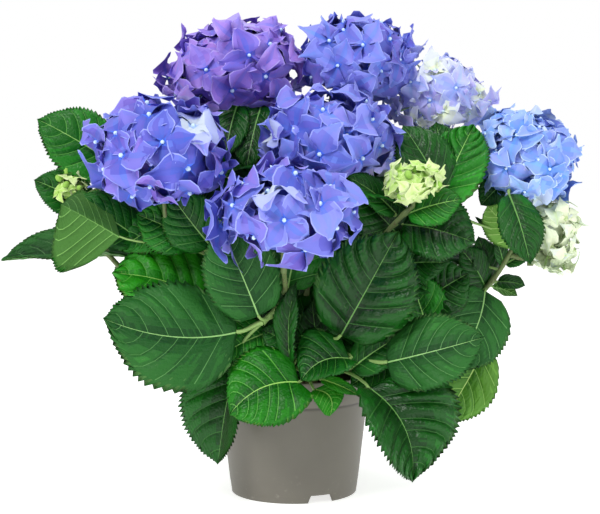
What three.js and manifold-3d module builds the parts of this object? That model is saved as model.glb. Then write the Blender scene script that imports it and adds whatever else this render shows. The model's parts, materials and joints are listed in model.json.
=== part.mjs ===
// Potted hydrangea shrub: a nursery pot, its compost, woody canes, flower heads and foliage.
// Millimetres, +Z up. The pot's axis is X = Y = 0, it stands on Z = 0, and the front is -Y.
// Every limb and mass is a closed solid worked out from the named sizes below.
import * as THREE from 'three'
import { mergeVertices } from 'three/addons/utils/BufferGeometryUtils.js'
import Module from 'manifold-3d'

const wasm = await Module()
wasm.setup()

// ---- Sizes -------------------------------------------------------------------------------

const GAP = 0.3            // between pieces that touch
const SLIVER = 0.03        // detail that a cut leaves and that is smoothed away

const POT = {
  height: 132,
  rim: 85,                 // outer radius at the top edge
  band: 28,                // height of the thicker band under the rim
  bandFoot: 82,            // outer radius at the band's lower edge
  shoulder: 79.6,          // body radius just under the band
  waist: 73.9,             // body radius at waistHeight
  waistHeight: 55,
  foot: 67.5,              // outer radius on the ground
  wall: 2.4,
  baseUnder: 9,            // height of the base's underside inside the foot ring
  baseOver: 12,
  segments: 36,
}
const NOTCH = { count: 3, first: -64.6, width: 26, height: 8, slant: 4 }
const COMPOST_TOP = 118
const STOOL = { lower: 27, upper: 24, top: 138, segments: 14 }
const CANE = { ring: 18, foot: 3.6, tip: 2.6, sides: 6, steps: 8, spread: 0.35, lift: 0.6 }
const MASS = {
  steps: 6,
  neck: 4,                 // least half width
  stalk: 0.16,             // share of the length before the leaf shape starts
  blunt: 0.5,              // width left at the tip
  uneven: 0.12,
  section: [[1, 0.1], [0.5, 1], [-0.45, 0.9], [-1, -0.1], [0, -1]],
}
const HEAD_UNEVEN = 0.05

// Flower heads: centre, half width, half height, and facets. One cane rises to each, in the
// order of their bearing round the pot, apart from a head on a side shoot `from` another cane.
const HEADS = [
  { name: 'front', at: [-10, -148, 314], wide: 81, tall: 58, detail: 3 },
  { name: 'left', at: [-136, -110, 371], wide: 80, tall: 63, detail: 3 },
  { name: 'green', at: [124, -100, 343], wide: 32, tall: 24, detail: 2 },
  { name: 'centre', at: [35, -60, 389], wide: 74, tall: 54, detail: 3 },
  { name: 'top', at: [66, 30, 467], wide: 70, tall: 56, detail: 2 },
  { name: 'purple', at: [-71, 40, 459], wide: 81, tall: 59, detail: 2 },
  { name: 'pale', at: [164, 70, 426], wide: 62, tall: 48, detail: 2 },
  { name: 'blue', at: [249, -10, 368], wide: 62, tall: 63, detail: 2, spread: 0.86, lift: 0.16 },
  {
    name: 'cream', at: [278, -10, 277], wide: 32, tall: 44, detail: 2,
    from: 'blue', share: 0.8, spread: 0.7, lift: 0.1,
  },
  { name: 'bud_left', at: [-232, -50, 334], wide: 17, tall: 19, detail: 1, spread: 0.7, lift: 0.35 },
  { name: 'back_left', at: [-150, 118, 345], wide: 66, tall: 52, detail: 2 },
  { name: 'back', at: [8, 166, 365], wide: 62, tall: 50, detail: 2 },
  { name: 'back_right', at: [118, 150, 335], wide: 60, tall: 48, detail: 2 },
]

// Foliage masses: the cane each is on and how far up it, the tip, the width and thickness,
// the way the broad side faces, and how far the spine's middle bows along X and Z.
const FRONT_FOLIAGE = {
  left_top: { on: ['bud_left', 0.84], tip: [-270, -45, 409], size: [70, 20], faces: [3, -10, 4], bow: [22, 12] },
  left_small: { on: ['bud_left', 0.94], tip: [-275, -50, 342], size: [42, 14], faces: [0, -10, 5], bow: [0, 4] },
  far_left: { on: ['bud_left', 0.62], tip: [-305, -68, 260], size: [56, 16], faces: [0, -7, 10], bow: [0, 18] },
  left_pale: { on: ['left', 0.78], tip: [-238, -122, 280], size: [78, 18], faces: [2, -10, 3], bow: [0, 2] },
  left_shade: { on: ['left', 0.66], tip: [-186, -62, 274], size: [84, 40], faces: [0, -10, 3], bow: [0, 6] },
  left_mid: { on: ['left', 0.36], tip: [-190, -95, 246], size: [70, 30], faces: [1, -10, 6], bow: [0, 14] },
  left_low: { on: ['left', 0.22], tip: [-193, -128, 208], size: [114, 30], faces: [0, -10, 3], bow: [0, -12] },
  left_hang: { on: ['left', 0.1], tip: [-78, -112, 54], size: [66, 22], faces: [0, -10, 4], bow: [-28, 30] },
  centre_left: { on: ['front', 0.4], tip: [-78, -122, 296], size: [82, 34], faces: [-2, -10, 1], bow: [0, -6] },
  centre_right: { on: ['centre', 0.24], tip: [106, -122, 296], size: [106, 36], faces: [1, -10, 2], bow: [9, -18] },
  front_bright: { on: ['front', 0.14], tip: [-66, -142, 112], size: [76, 26], faces: [-1, -10, 6], bow: [0, 14] },
  front_dark: { on: ['centre', 0.12], tip: [48, -108, 184], size: [76, 34], faces: [0, -10, 4], bow: [0, 0] },
  right_low: { on: ['green', 0.16], tip: [196, -136, 188], size: [74, 28], faces: [0, -10, 5], bow: [0, -4] },
  right_hang: { on: ['green', 0.06], tip: [116, -145, 44], size: [96, 24], faces: [1, -10, 4], bow: [30, 30] },
  right_mid: { on: ['blue', 0.66], tip: [160, -72, 158], size: [76, 24], faces: [2, -10, 2], bow: [22, -6] },
  right_yellow: { on: ['blue', 0.5], tip: [160, -34, 88], size: [66, 18], faces: [2, -10, 1], bow: [22, 0] },
  right_inner: { on: ['green', 0.4], tip: [150, -46, 214], size: [96, 44], faces: [0, -10, 2], bow: [0, 12] },
  right_upper: { on: ['green', 0.72], tip: [186, -86, 272], size: [70, 26], faces: [0, -10, 6], bow: [0, 8] },
  right_top: { on: ['green', 0.9], tip: [160, -50, 404], size: [90, 24], faces: [1, -10, 4], bow: [4, 4] },
  under_blue: { on: ['blue', 0.93], tip: [246, -82, 258], size: [48, 18], faces: [3, -10, 1], bow: [0, 24] },
  mid_gap: { on: ['purple', 0.6], tip: [-50, 6, 404], size: [60, 30], faces: [0, -10, 2], bow: [0, 0] },
}

// The back is filled by tiers of foliage at even bearings, each mass on the nearest cane.
const BACK_TIERS = [
  { name: 'back_low', bearings: [17, 64, 116, 163], reach: 192, tipUp: 106, share: 0.16, size: [126, 36] },
  { name: 'back_mid', bearings: [27, 70, 112, 155], reach: 222, tipUp: 232, share: 0.34, size: [126, 46] },
  { name: 'back_high', bearings: [56, 119], reach: 204, tipUp: 322, share: 0.6, size: [88, 30] },
]
const BACK_RISE = 28

// ---- Materials ---------------------------------------------------------------------------

const paint = (color, roughness) => new THREE.MeshStandardMaterial({ color, roughness, metalness: 0 })
const MATERIALS = {
  pot: paint('#76736a', 0.55),
  compost: paint('#3b2c20', 0.95),
  wood: paint('#6b5a42', 0.8),
  cane: paint('#5f774f', 0.6),
  leaf: paint('#3a663a', 0.45),
  green: paint('#a0c380', 0.6),
  cream: paint('#d4efdc', 0.6),
  pale: paint('#9dafdc', 0.6),
  sky: paint('#83a7d9', 0.6),
  violet: paint('#6872c5', 0.6),
  purple: paint('#776dc6', 0.6),
}
const HEAD_PAINT = {
  purple: 'purple', pale: 'pale', blue: 'sky', cream: 'cream', green: 'green', bud_left: 'green',
}

// ---- Solids ------------------------------------------------------------------------------

function solidOf(geometry) {
  const bare = geometry.clone()
  bare.deleteAttribute('normal')
  bare.deleteAttribute('uv')
  const merged = mergeVertices(bare, 1e-4)
  const mesh = new wasm.Mesh({
    numProp: 3,
    vertProperties: new Float32Array(merged.attributes.position.array),
    triVerts: new Uint32Array(merged.index.array),
  })
  return new wasm.Manifold(mesh)
}

function geometryOf(solid) {
  const mesh = solid.getMesh()
  const geometry = new THREE.BufferGeometry()
  geometry.setAttribute('position', new THREE.Float32BufferAttribute(mesh.vertProperties, 3))
  geometry.setIndex(Array.from(mesh.triVerts))
  geometry.computeVertexNormals()
  return geometry
}

// The largest piece that is left when the cutters are taken away, cleared of slivers.
function carve(solid, cutters) {
  let rest = solid
  for (const cutter of cutters) rest = rest.subtract(cutter)
  const pieces = rest.asOriginal().simplify(SLIVER).decompose()
  return pieces.reduce((best, piece) => (piece.volume() > best.volume() ? piece : best))
}

// A closed skin over rings of equal size, with a fan at either end.
function skin(rings) {
  const sides = rings[0].length
  const last = (rings.length - 1) * sides
  const points = rings.flat()
  const faces = []
  for (let ring = 0; ring < rings.length - 1; ring++) {
    for (let side = 0; side < sides; side++) {
      const a = ring * sides + side
      const b = ring * sides + (side + 1) % sides
      faces.push(a, b, b + sides, a, b + sides, a + sides)
    }
  }
  for (let side = 1; side < sides - 1; side++) {
    faces.push(0, side + 1, side)
    faces.push(last, last + side, last + side + 1)
  }
  const geometry = new THREE.BufferGeometry()
  geometry.setAttribute('position', new THREE.Float32BufferAttribute(points.flatMap(p => p.toArray()), 3))
  geometry.setIndex(faces)
  return geometry
}

function randomFrom(seed) {
  let state = seed
  return () => {
    state = (state * 1664525 + 1013904223) % 4294967296
    return state / 4294967296
  }
}

const vector = list => new THREE.Vector3(...list)

function polar(radius, degrees, z) {
  const turn = THREE.MathUtils.degToRad(degrees)
  return new THREE.Vector3(radius * Math.cos(turn), radius * Math.sin(turn), z)
}

// ---- Pot, compost and stool --------------------------------------------------------------

// Outer radius of the pot's body under the band.
function bodyRadius(z) {
  const { mapLinear } = THREE.MathUtils
  const bandLow = POT.height - POT.band
  if (z < POT.waistHeight) return mapLinear(z, 0, POT.waistHeight, POT.foot, POT.waist)
  return mapLinear(z, POT.waistHeight, bandLow, POT.waist, POT.shoulder)
}

function turned(profile, segments) {
  const points = profile.map(([radius, z]) => new THREE.Vector2(radius, z))
  return new THREE.LatheGeometry(points, segments).rotateX(Math.PI / 2)
}

function potSolid() {
  const inner = z => bodyRadius(z) - POT.wall
  const bandLow = POT.height - POT.band
  const shell = solidOf(turned([
    [0, POT.baseUnder], [inner(POT.baseUnder), POT.baseUnder], [inner(0), 0], [POT.foot, 0],
    [POT.waist, POT.waistHeight], [POT.shoulder, bandLow], [POT.bandFoot, bandLow], [POT.rim, POT.height],
    [POT.rim - POT.wall, POT.height], [POT.bandFoot - POT.wall, bandLow + POT.wall],
    [inner(bandLow), bandLow - POT.wall], [inner(POT.waistHeight), POT.waistHeight],
    [inner(POT.baseOver), POT.baseOver], [0, POT.baseOver],
  ], POT.segments))
  const outline = new THREE.Shape([
    new THREE.Vector2(-NOTCH.width / 2, -1),
    new THREE.Vector2(NOTCH.width / 2, -1),
    new THREE.Vector2(NOTCH.width / 2, NOTCH.height),
    new THREE.Vector2(-NOTCH.width / 2 + NOTCH.slant, NOTCH.height),
  ])
  const cutters = []
  for (let index = 0; index < NOTCH.count; index++) {
    const bar = new THREE.ExtrudeGeometry(outline, { depth: POT.foot, bevelEnabled: false })
    bar.rotateX(Math.PI / 2)
    bar.translate(0, -POT.foot / 2, 0)
    bar.rotateZ(THREE.MathUtils.degToRad(90 + NOTCH.first + index * 360 / NOTCH.count))
    cutters.push(solidOf(bar))
  }
  return carve(shell, cutters)
}

function compostSolid() {
  const bandLow = POT.height - POT.band
  const inner = z => bodyRadius(z) - POT.wall - GAP
  return solidOf(turned([
    [0, POT.baseOver + GAP], [inner(POT.baseOver), POT.baseOver + GAP],
    [inner(POT.waistHeight), POT.waistHeight], [inner(bandLow), bandLow - POT.wall],
    [inner(bandLow), COMPOST_TOP], [0, COMPOST_TOP],
  ], POT.segments))
}

function stoolSolid(grow) {
  const low = COMPOST_TOP + GAP - grow
  return solidOf(turned([
    [0, low], [STOOL.lower + grow, low], [STOOL.upper + grow, STOOL.top + grow], [0, STOOL.top + grow],
  ], STOOL.segments))
}

// ---- Canes -------------------------------------------------------------------------------

const bearingOf = ([x, y]) => THREE.MathUtils.radToDeg(Math.atan2(y, x))
const undersideOf = head => new THREE.Vector3(head.at[0], head.at[1], head.at[2] - head.tall * 0.9)

function caneCurve(foot, end, spread, lift) {
  const bend = foot.clone().lerp(end, spread)
  bend.z = THREE.MathUtils.lerp(foot.z, end.z, lift)
  return new THREE.QuadraticBezierCurve3(foot, bend, end)
}

function limbSolid(curve, footRadius, tipRadius, grow) {
  const rings = []
  for (let step = 0; step <= CANE.steps; step++) {
    const share = step / CANE.steps
    const centre = curve.getPoint(share)
    const along = curve.getTangent(share)
    const side = new THREE.Vector3(0, 0, 1).cross(along).normalize()
    const over = along.clone().cross(side)
    const radius = THREE.MathUtils.lerp(footRadius, tipRadius, share) + grow
    rings.push(Array.from({ length: CANE.sides }, (_, index) => {
      const turn = 2 * Math.PI * index / CANE.sides
      return centre.clone()
        .addScaledVector(side, radius * Math.cos(turn))
        .addScaledVector(over, radius * Math.sin(turn))
    }))
  }
  return solidOf(skin(rings))
}

function layOutCanes() {
  const risers = HEADS.filter(head => !head.from)
  risers.sort((one, other) => bearingOf(one.at) - bearingOf(other.at))
  const canes = new Map()
  const pitch = 360 / risers.length
  risers.forEach((head, index) => {
    const foot = polar(CANE.ring, -180 + pitch * (index + 0.5), STOOL.top - 3)
    const spread = head.spread ?? CANE.spread
    const lift = head.lift ?? CANE.lift
    const curve = caneCurve(foot, undersideOf(head), spread, lift)
    canes.set(head.name, { curve, radius: CANE.foot })
  })
  for (const head of HEADS.filter(each => each.from)) {
    const foot = canes.get(head.from).curve.getPoint(head.share)
    const curve = caneCurve(foot, undersideOf(head), head.spread, head.lift)
    canes.set(head.name, { curve, radius: CANE.tip })
  }
  return canes
}

// ---- Flower heads and foliage ------------------------------------------------------------

function headSolid(head, grow) {
  const geometry = new THREE.IcosahedronGeometry(1, head.detail)
  geometry.deleteAttribute('normal')
  geometry.deleteAttribute('uv')
  const ball = mergeVertices(geometry, 1e-4)
  const random = randomFrom(head.name.length * 7919 + Math.round(head.at[2]))
  const place = ball.attributes.position
  for (let index = 0; index < place.count; index++) {
    const swell = 1 - HEAD_UNEVEN * random()
    place.setXYZ(
      index,
      head.at[0] + place.getX(index) * (head.wide * swell + grow),
      head.at[1] + place.getY(index) * (head.wide * swell + grow),
      head.at[2] + place.getZ(index) * (head.tall * swell + grow),
    )
  }
  return solidOf(ball)
}

// Half the width of a mass at a share of its length: a narrow stalk, then a broad leaf shape.
function outlineAt(share, half) {
  const blade = Math.max(0, (share - MASS.stalk) / (1 - MASS.stalk))
  const leaf = Math.sin(Math.PI * blade ** 0.8) ** 0.7
  return Math.max(MASS.neck, half * leaf)
}

function massSolid(mass, grow) {
  const [wide, thick] = mass.size
  const tip = vector(mass.tip)
  const middle = mass.foot.clone().lerp(tip, 0.5)
  middle.x += mass.bow[0] * 2
  middle.z += mass.bow[1] * 2
  const spine = new THREE.QuadraticBezierCurve3(mass.foot, middle, tip)
  const faces = vector(mass.faces).normalize()
  const random = randomFrom(mass.seed)
  const rings = []
  for (let step = 0; step <= MASS.steps; step++) {
    const share = step / MASS.steps
    const along = spine.getTangent(share)
    const side = along.clone().cross(faces).normalize()
    const over = along.clone().cross(side)
    const half = outlineAt(share, wide / 2)
    const deep = Math.min(thick / 2, half)
    const end = step === MASS.steps ? MASS.blunt : 1
    rings.push(MASS.section.map(([across, up]) => {
      const uneven = 1 - MASS.uneven * random()
      return spine.getPoint(share)
        .addScaledVector(side, across * (half * end * uneven + grow))
        .addScaledVector(over, up * (deep * end * uneven + grow))
    }))
  }
  return solidOf(skin(rings))
}

function layOutFoliage(canes) {
  const masses = []
  for (const [name, row] of Object.entries(FRONT_FOLIAGE)) {
    const [cane, share] = row.on
    masses.push({ ...row, name, foot: canes.get(cane).curve.getPoint(share), seed: 11 + masses.length })
  }
  const risers = HEADS.filter(head => !head.from)
  for (const tier of BACK_TIERS) {
    tier.bearings.forEach((bearing, index) => {
      const turnTo = head => Math.abs(((bearingOf(head.at) - bearing + 540) % 360) - 180)
      const near = risers.reduce((best, head) => (turnTo(head) < turnTo(best) ? head : best))
      const out = polar(1, bearing, 0.8)
      masses.push({
        name: `${tier.name}_${index + 1}`,
        foot: canes.get(near.name).curve.getPoint(tier.share),
        tip: polar(tier.reach, bearing, tier.tipUp).toArray(),
        size: tier.size,
        faces: out.toArray(),
        bow: [0, BACK_RISE],
        seed: 101 + masses.length,
      })
    })
  }
  return masses
}

// ---- The plant ---------------------------------------------------------------------------

const plant = new THREE.Group()

function add(name, solid, material) {
  const mesh = new THREE.Mesh(geometryOf(solid), material)
  mesh.name = name
  plant.add(mesh)
}

const pot = potSolid()
const compost = compostSolid()
add('pot', pot, MATERIALS.pot)
add('compost', compost, MATERIALS.compost)
add('stem_base', stoolSolid(0), MATERIALS.wood)

const headCutters = []
for (const head of HEADS) {
  const colour = MATERIALS[HEAD_PAINT[head.name] ?? 'violet']
  add(`flower_head_${head.name}`, carve(headSolid(head, 0), headCutters), colour)
  headCutters.push(headSolid(head, GAP))
}

const canes = layOutCanes()
const caneCutters = []
for (const [name, cane] of canes) {
  const cutters = [stoolSolid(GAP), ...headCutters, ...caneCutters]
  add(`cane_${name}`, carve(limbSolid(cane.curve, cane.radius, CANE.tip, 0), cutters), MATERIALS.cane)
  caneCutters.push(limbSolid(cane.curve, cane.radius, CANE.tip, GAP))
}

const fixed = [stoolSolid(GAP), ...headCutters, ...caneCutters]
const bandUnder = POT.height - POT.band - GAP
const potGuard = solidOf(turned([
  [0, 0], [POT.foot + GAP, 0], [POT.shoulder + GAP, bandUnder], [POT.bandFoot + GAP, bandUnder],
  [POT.rim + GAP, POT.height + GAP], [0, POT.height + GAP],
], POT.segments))
const massCutters = []
for (const mass of layOutFoliage(canes)) {
  const cutters = [potGuard, ...fixed, ...massCutters]
  add(`foliage_${mass.name}`, carve(massSolid(mass, 0), cutters), MATERIALS.leaf)
  massCutters.push(massSolid(mass, GAP))
}

export default plant
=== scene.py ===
"""Potted hydrangea: pot, compost, canes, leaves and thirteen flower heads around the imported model."""
import json
import math
import bpy
import numpy as np
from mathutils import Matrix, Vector

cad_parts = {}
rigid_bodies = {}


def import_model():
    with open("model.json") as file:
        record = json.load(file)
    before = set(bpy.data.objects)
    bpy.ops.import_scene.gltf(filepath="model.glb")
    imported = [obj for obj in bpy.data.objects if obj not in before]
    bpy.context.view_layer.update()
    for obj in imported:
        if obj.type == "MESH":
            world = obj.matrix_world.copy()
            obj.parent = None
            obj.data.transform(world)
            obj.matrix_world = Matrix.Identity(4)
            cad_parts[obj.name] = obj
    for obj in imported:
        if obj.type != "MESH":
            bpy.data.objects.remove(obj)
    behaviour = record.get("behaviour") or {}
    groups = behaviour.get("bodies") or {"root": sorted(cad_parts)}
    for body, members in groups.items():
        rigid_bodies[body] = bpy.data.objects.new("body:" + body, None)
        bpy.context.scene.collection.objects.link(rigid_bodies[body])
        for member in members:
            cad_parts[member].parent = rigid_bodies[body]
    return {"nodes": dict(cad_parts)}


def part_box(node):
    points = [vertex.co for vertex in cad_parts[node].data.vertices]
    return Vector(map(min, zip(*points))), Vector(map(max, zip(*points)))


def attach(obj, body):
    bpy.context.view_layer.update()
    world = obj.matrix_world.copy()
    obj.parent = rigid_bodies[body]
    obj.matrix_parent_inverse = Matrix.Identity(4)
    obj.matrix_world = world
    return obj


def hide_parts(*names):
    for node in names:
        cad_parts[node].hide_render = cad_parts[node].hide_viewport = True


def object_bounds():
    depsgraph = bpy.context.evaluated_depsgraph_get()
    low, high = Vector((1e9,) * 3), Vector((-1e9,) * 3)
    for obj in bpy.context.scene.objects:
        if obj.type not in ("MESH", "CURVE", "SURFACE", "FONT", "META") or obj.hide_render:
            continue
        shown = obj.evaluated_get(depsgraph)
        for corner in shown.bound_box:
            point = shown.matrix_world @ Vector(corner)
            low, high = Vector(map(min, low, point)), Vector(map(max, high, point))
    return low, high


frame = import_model()
cad_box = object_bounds()
MM = 0.001
BODY = "root"


# ---- node trees -----------------------------------------------------------------------------

# The sockets of a Mix node that blends colours, and the name of the maps that the finishes follow.
MIX_SHARE, MIX_FIRST, MIX_SECOND, MIX_RESULT = 0, 6, 7, 2
MAP = "OFBake"

# How turned pieces are mapped from above.
TURNED_SCALE, MAP_MIDDLE = 5, 0.5


class Wire:
    """One output in a node tree. Arithmetic on it adds Math nodes."""

    def __init__(self, graph, socket):
        self.graph = graph
        self.socket = socket

    def out(self, name):
        return Wire(self.graph, self.socket.node.outputs[name])

    def maths(self, operation, other):
        return self.graph.add("ShaderNodeMath", {"operation": operation}, {0: self, 1: other})

    def __add__(self, other):
        return self.maths("ADD", other)

    def __sub__(self, other):
        return self.maths("SUBTRACT", other)

    def __mul__(self, other):
        return self.maths("MULTIPLY", other)


class Graph:
    """A node tree that is filled one node at a time."""

    def __init__(self, tree):
        self.tree = tree

    def feed(self, node, sockets):
        for key, value in sockets.items():
            if isinstance(value, Wire):
                self.tree.links.new(value.socket, node.inputs[key])
            else:
                node.inputs[key].default_value = value

    def add(self, kind, settings=None, sockets=None, output=0):
        node = self.tree.nodes.new(kind)
        for name, value in (settings or {}).items():
            setattr(node, name, value)
        self.feed(node, sockets or {})
        return Wire(self, node.outputs[output]) if len(node.outputs) else node

    def noise(self, sockets):
        return self.add("ShaderNodeTexNoise", {}, sockets)

    def ramp(self, value, start, end, shape="SMOOTHSTEP"):
        """0 where the value is at the start, 1 where it is at the end."""
        return self.add("ShaderNodeMapRange", {"interpolation_type": shape},
                        {"Value": value, "From Min": start, "From Max": end})


class Finish(Graph):
    """A material with its shader's own constants set, and the graph to build the rest in."""

    def __init__(self, name, colour, constants):
        self.material = bpy.data.materials.new(name)
        self.material.use_nodes = True
        self.material.diffuse_color = colour
        super().__init__(self.material.node_tree)
        self.shader = self.tree.nodes["Principled BSDF"]
        self.feed(self.shader, {"Base Color": colour, **constants})
        self.place = self.add("ShaderNodeTexCoord").out("Object")

    def grain(self, scale, detail=2.0):
        """Noise in the piece's own space, in cells to the metre."""
        return self.noise({"Vector": self.place, "Scale": scale, "Detail": detail})

    def map_drawn(self, scale):
        """The piece's map, drawn out along each of its ways."""
        own_map = self.add("ShaderNodeUVMap", {"uv_map": MAP})
        return self.add("ShaderNodeMapping", {}, {"Vector": own_map, "Scale": scale})

    def mixed(self, share, first, second):
        return self.add("ShaderNodeMix", {"data_type": "RGBA"},
                        {MIX_SHARE: share, MIX_FIRST: first, MIX_SECOND: second}, MIX_RESULT)

    def done(self, roughness, height, strength, distance, colour=None):
        """Links the finished graph to the shader and hands the material over."""
        normal = self.add("ShaderNodeBump", {},
                          {"Height": height, "Strength": strength, "Distance": distance})
        self.feed(self.shader, {"Roughness": roughness, "Normal": normal})
        if colour is not None:
            self.feed(self.shader, {"Base Color": colour})
        return self.material


def paint(red, green, blue):
    """A screen colour, 0 to 255, as the linear colour that a shader takes."""
    shares = [value / 255 for value in (red, green, blue)]
    return [s / 12.92 if s <= 0.04045 else ((s + 0.055) / 1.055) ** 2.4 for s in shares] + [1.0]


def mixed(first, second, share):
    return tuple(a + (b - a) * share for a, b in zip(first, second))


def blade_finish(name, colour, roughness, specular):
    """Leaf skin: rungs between the side veins, a net of small veins, and a waxy, slightly uneven shine."""
    skin = Finish(name, colour, {"Specular IOR Level": specular})
    rungs = skin.noise({"Vector": skin.map_drawn((100.0, 620.0, 1.0)), "Scale": 1.0, "Detail": 1.0,
                        "Distortion": 0.6})
    net = skin.add("ShaderNodeTexVoronoi", {"feature": "DISTANCE_TO_EDGE"},
                   {"Vector": skin.place, "Scale": 210.0})
    pucker = (net * 3.0).maths("MINIMUM", 0.6)
    shine = skin.grain(50.0) * 0.24 + (roughness - 0.12)
    return skin.done(shine, rungs * 1.3 + pucker * 0.35, 0.45, 0.0022)


def vein_finish(name, colour):
    """Veins: smooth ribs with a faint lengthwise unevenness."""
    rib = Finish(name, colour, {"Specular IOR Level": 0.4})
    grain = rib.grain(600.0, 1.0)
    return rib.done(grain * 0.2 + 0.4, grain, 0.2, 0.0004)


def petal_finish(name, colour):
    """Sepal skin: satin, with fine creases that run out from the claw."""
    satin = Finish(name, colour, {"Specular IOR Level": 0.25, "Sheen Weight": 0.08, "Sheen Roughness": 0.5})
    crease = satin.noise({"Vector": satin.map_drawn((16.0, 2.2, 1.0)), "Scale": 1.0, "Detail": 2.0})
    return satin.done(satin.grain(60.0, 1.0) * 0.2 + 0.5, crease, 0.35, 0.0011)


def bark_finish(name, colour, speck, ridge_scale):
    """Cane bark: darker flecks and shallow ridges that run with the cane."""
    bark = Finish(name, colour, {"Specular IOR Level": 0.35})
    drawn = bark.add("ShaderNodeMapping", {}, {"Vector": bark.place, "Scale": (1.0, 1.0, 0.35)})
    fleck = bark.ramp(bark.noise({"Vector": drawn, "Scale": 420.0, "Detail": 2.0}), 0.56, 0.7)
    ridge = bark.noise({"Vector": drawn, "Scale": ridge_scale, "Detail": 4.0})
    return bark.done(ridge * 0.3 + 0.42, ridge + fleck * 0.3, 0.5, 0.0012,
                     colour=bark.mixed(fleck, colour, speck))


def pot_finish():
    """Moulded recycled plastic: matt, faintly mottled, scuffed low down, with painted shade just under its
    rim band.
    """
    plastic = Finish("pot_plastic", paint(113, 109, 100), {"Specular IOR Level": 0.4})
    mottle = plastic.grain(28.0, 4.0)
    height = plastic.add("ShaderNodeSeparateXYZ", {}, {0: plastic.place}, 2)
    scuffs = plastic.ramp(plastic.grain(160.0, 5.0), 0.6, 0.75) * plastic.ramp(height, 0.045, 0.0)
    # Painted shade: a dark line just under the rim band, where the band's shadow falls.
    painted_rim_shade = plastic.ramp(height, 0.1, 0.1034) * plastic.ramp(height, 0.105, 0.1046, "LINEAR")
    skin = plastic.mixed(mottle, paint(107, 103, 94), paint(118, 114, 105))
    skin = plastic.mixed(scuffs * 0.5, skin, paint(146, 142, 133))
    skin = plastic.mixed(painted_rim_shade * 0.75, skin, paint(66, 62, 57))
    return plastic.done(mottle * 0.14 + 0.4, plastic.grain(1400.0), 0.25, 0.0002, colour=skin)


def compost_finish():
    crumb = Finish("compost", paint(46, 34, 26), {"Specular IOR Level": 0.3})
    clump = crumb.grain(240.0, 6.0)
    return crumb.done(clump * 0.2 + 0.78, clump, 0.8, 0.004,
                      colour=crumb.mixed(clump, paint(30, 22, 17), paint(84, 64, 48)))


# ---- meshes ---------------------------------------------------------------------------------

class Sheaf:
    """Gathers many small meshes into one piece."""

    def __init__(self):
        self.parts = []
        self.count = 0

    def add(self, points, quads, paints, places):
        """Faces are rows of four corners; a corner that is given twice makes a triangle."""
        self.parts.append((points, quads + self.count, paints, places))
        self.count += len(points)

    def piece(self, name, materials):
        points, quads, paints, places = (np.concatenate(rows) for rows in zip(*self.parts))
        kept = np.ones(quads.shape, bool)
        for corner in range(4):
            kept[:, corner] = quads[:, corner] != quads[:, corner - 1]
        used, where = np.unique(quads, return_inverse=True)
        where = where.reshape(quads.shape)
        mesh = point_mesh(name, points[used])
        sizes = kept.sum(1)
        mesh.loops.add(int(sizes.sum()))
        mesh.loops.foreach_set("vertex_index", where[kept].astype(np.int32))
        mesh.polygons.add(len(quads))
        mesh.polygons.foreach_set("loop_start", (np.cumsum(sizes) - sizes).astype(np.int32))
        mesh.polygons.foreach_set("material_index", paints.astype(np.int32))
        mesh.polygons.foreach_set("use_smooth", np.ones(len(quads), bool))
        layer = mesh.uv_layers.new(name=MAP)
        layer.uv.foreach_set("vector", places[quads[kept]].astype(np.float32).ravel())
        mesh.update(calc_edges=True)
        mesh.validate()
        for material in materials:
            mesh.materials.append(material)
        return place_piece(name, mesh)


def point_mesh(name, points):
    mesh = bpy.data.meshes.new(name)
    mesh.vertices.add(len(points))
    mesh.vertices.foreach_set("co", np.asarray(points, np.float32).ravel())
    return mesh


def attribute(mesh, name, kind, values):
    """One value at each point of a mesh."""
    layer = mesh.attributes.new(name, kind, "POINT")
    field = "vector" if kind == "FLOAT_VECTOR" else "value"
    layer.data.foreach_set(field, np.asarray(values, np.int32 if kind == "INT" else np.float32).ravel())


def place_piece(name, data):
    piece = bpy.data.objects.new(name, data)
    bpy.context.scene.collection.objects.link(piece)
    return piece


def grid_quads(ids):
    """The faces of a sheet from its grid of corners."""
    return np.stack([ids[:-1, :-1], ids[1:, :-1], ids[1:, 1:], ids[:-1, 1:]], -1).reshape(-1, 4)


def around(sides):
    """Equal turns round a full circle."""
    return np.arange(sides) * 2 * np.pi / sides


def lathe(rings, turn, last_end, first_end=None, middle=(0, 0)):
    """Points and faces of rings of radius and height, closed on a point at the last and maybe the first."""
    sides = len(turn)
    points = [np.stack([middle[0] + radius * np.cos(turn), middle[1] + radius * np.sin(turn),
                        np.broadcast_to(z, turn.shape)], 1) for radius, z in rings]
    ids = np.arange(sides)
    after = np.roll(ids, -1)
    last = (len(rings) - 1) * sides
    quads = [np.stack([low + ids, low + after, low + sides + after, low + sides + ids], 1)
             for low in range(0, last, sides)]
    crown = np.full(sides, last + sides)
    points.append(np.array([[middle[0], middle[1], last_end]]))
    quads.append(np.stack([last + ids, last + after, crown, crown], 1))
    if first_end is not None:
        points.append(np.array([[middle[0], middle[1], first_end]]))
        quads.append(np.stack([after, ids, crown + 1, crown + 1], 1))
    return np.concatenate(points), np.concatenate(quads)


def lathe_piece(name, finish, rings, turn, ends, middle):
    """A piece turned from rings that are given in millimetres."""
    points, quads = lathe(rings, turn, *ends, middle)
    points = points * MM
    sheaf = Sheaf()
    sheaf.add(points, quads, np.zeros(len(quads)), points[:, :2] * TURNED_SCALE + MAP_MIDDLE)
    return sheaf.piece(name, [finish])


def step_of(value, steps):
    """Which of some steps a value from 0 to 1 falls on."""
    return np.clip(np.round(value * (steps - 1)), 0, steps - 1).astype(int)


def unit(vector):
    return vector / np.linalg.norm(vector)


def box_of(node):
    low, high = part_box(node)
    return np.array(low), np.array(high)


def inside(node, share):
    """The point that lies at these shares of a node's box, or of the whole plant's."""
    low, high = PLANT if node == "plant" else box_of(node)
    return low + (high - low) * np.array(share)


def vertices_of(node):
    mesh = frame["nodes"][node].data
    places = np.empty(len(mesh.vertices) * 3)
    mesh.vertices.foreach_get("co", places)
    return places.reshape(-1, 3)


PLANT = (np.array(cad_box[0]), np.array(cad_box[1]))


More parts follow.
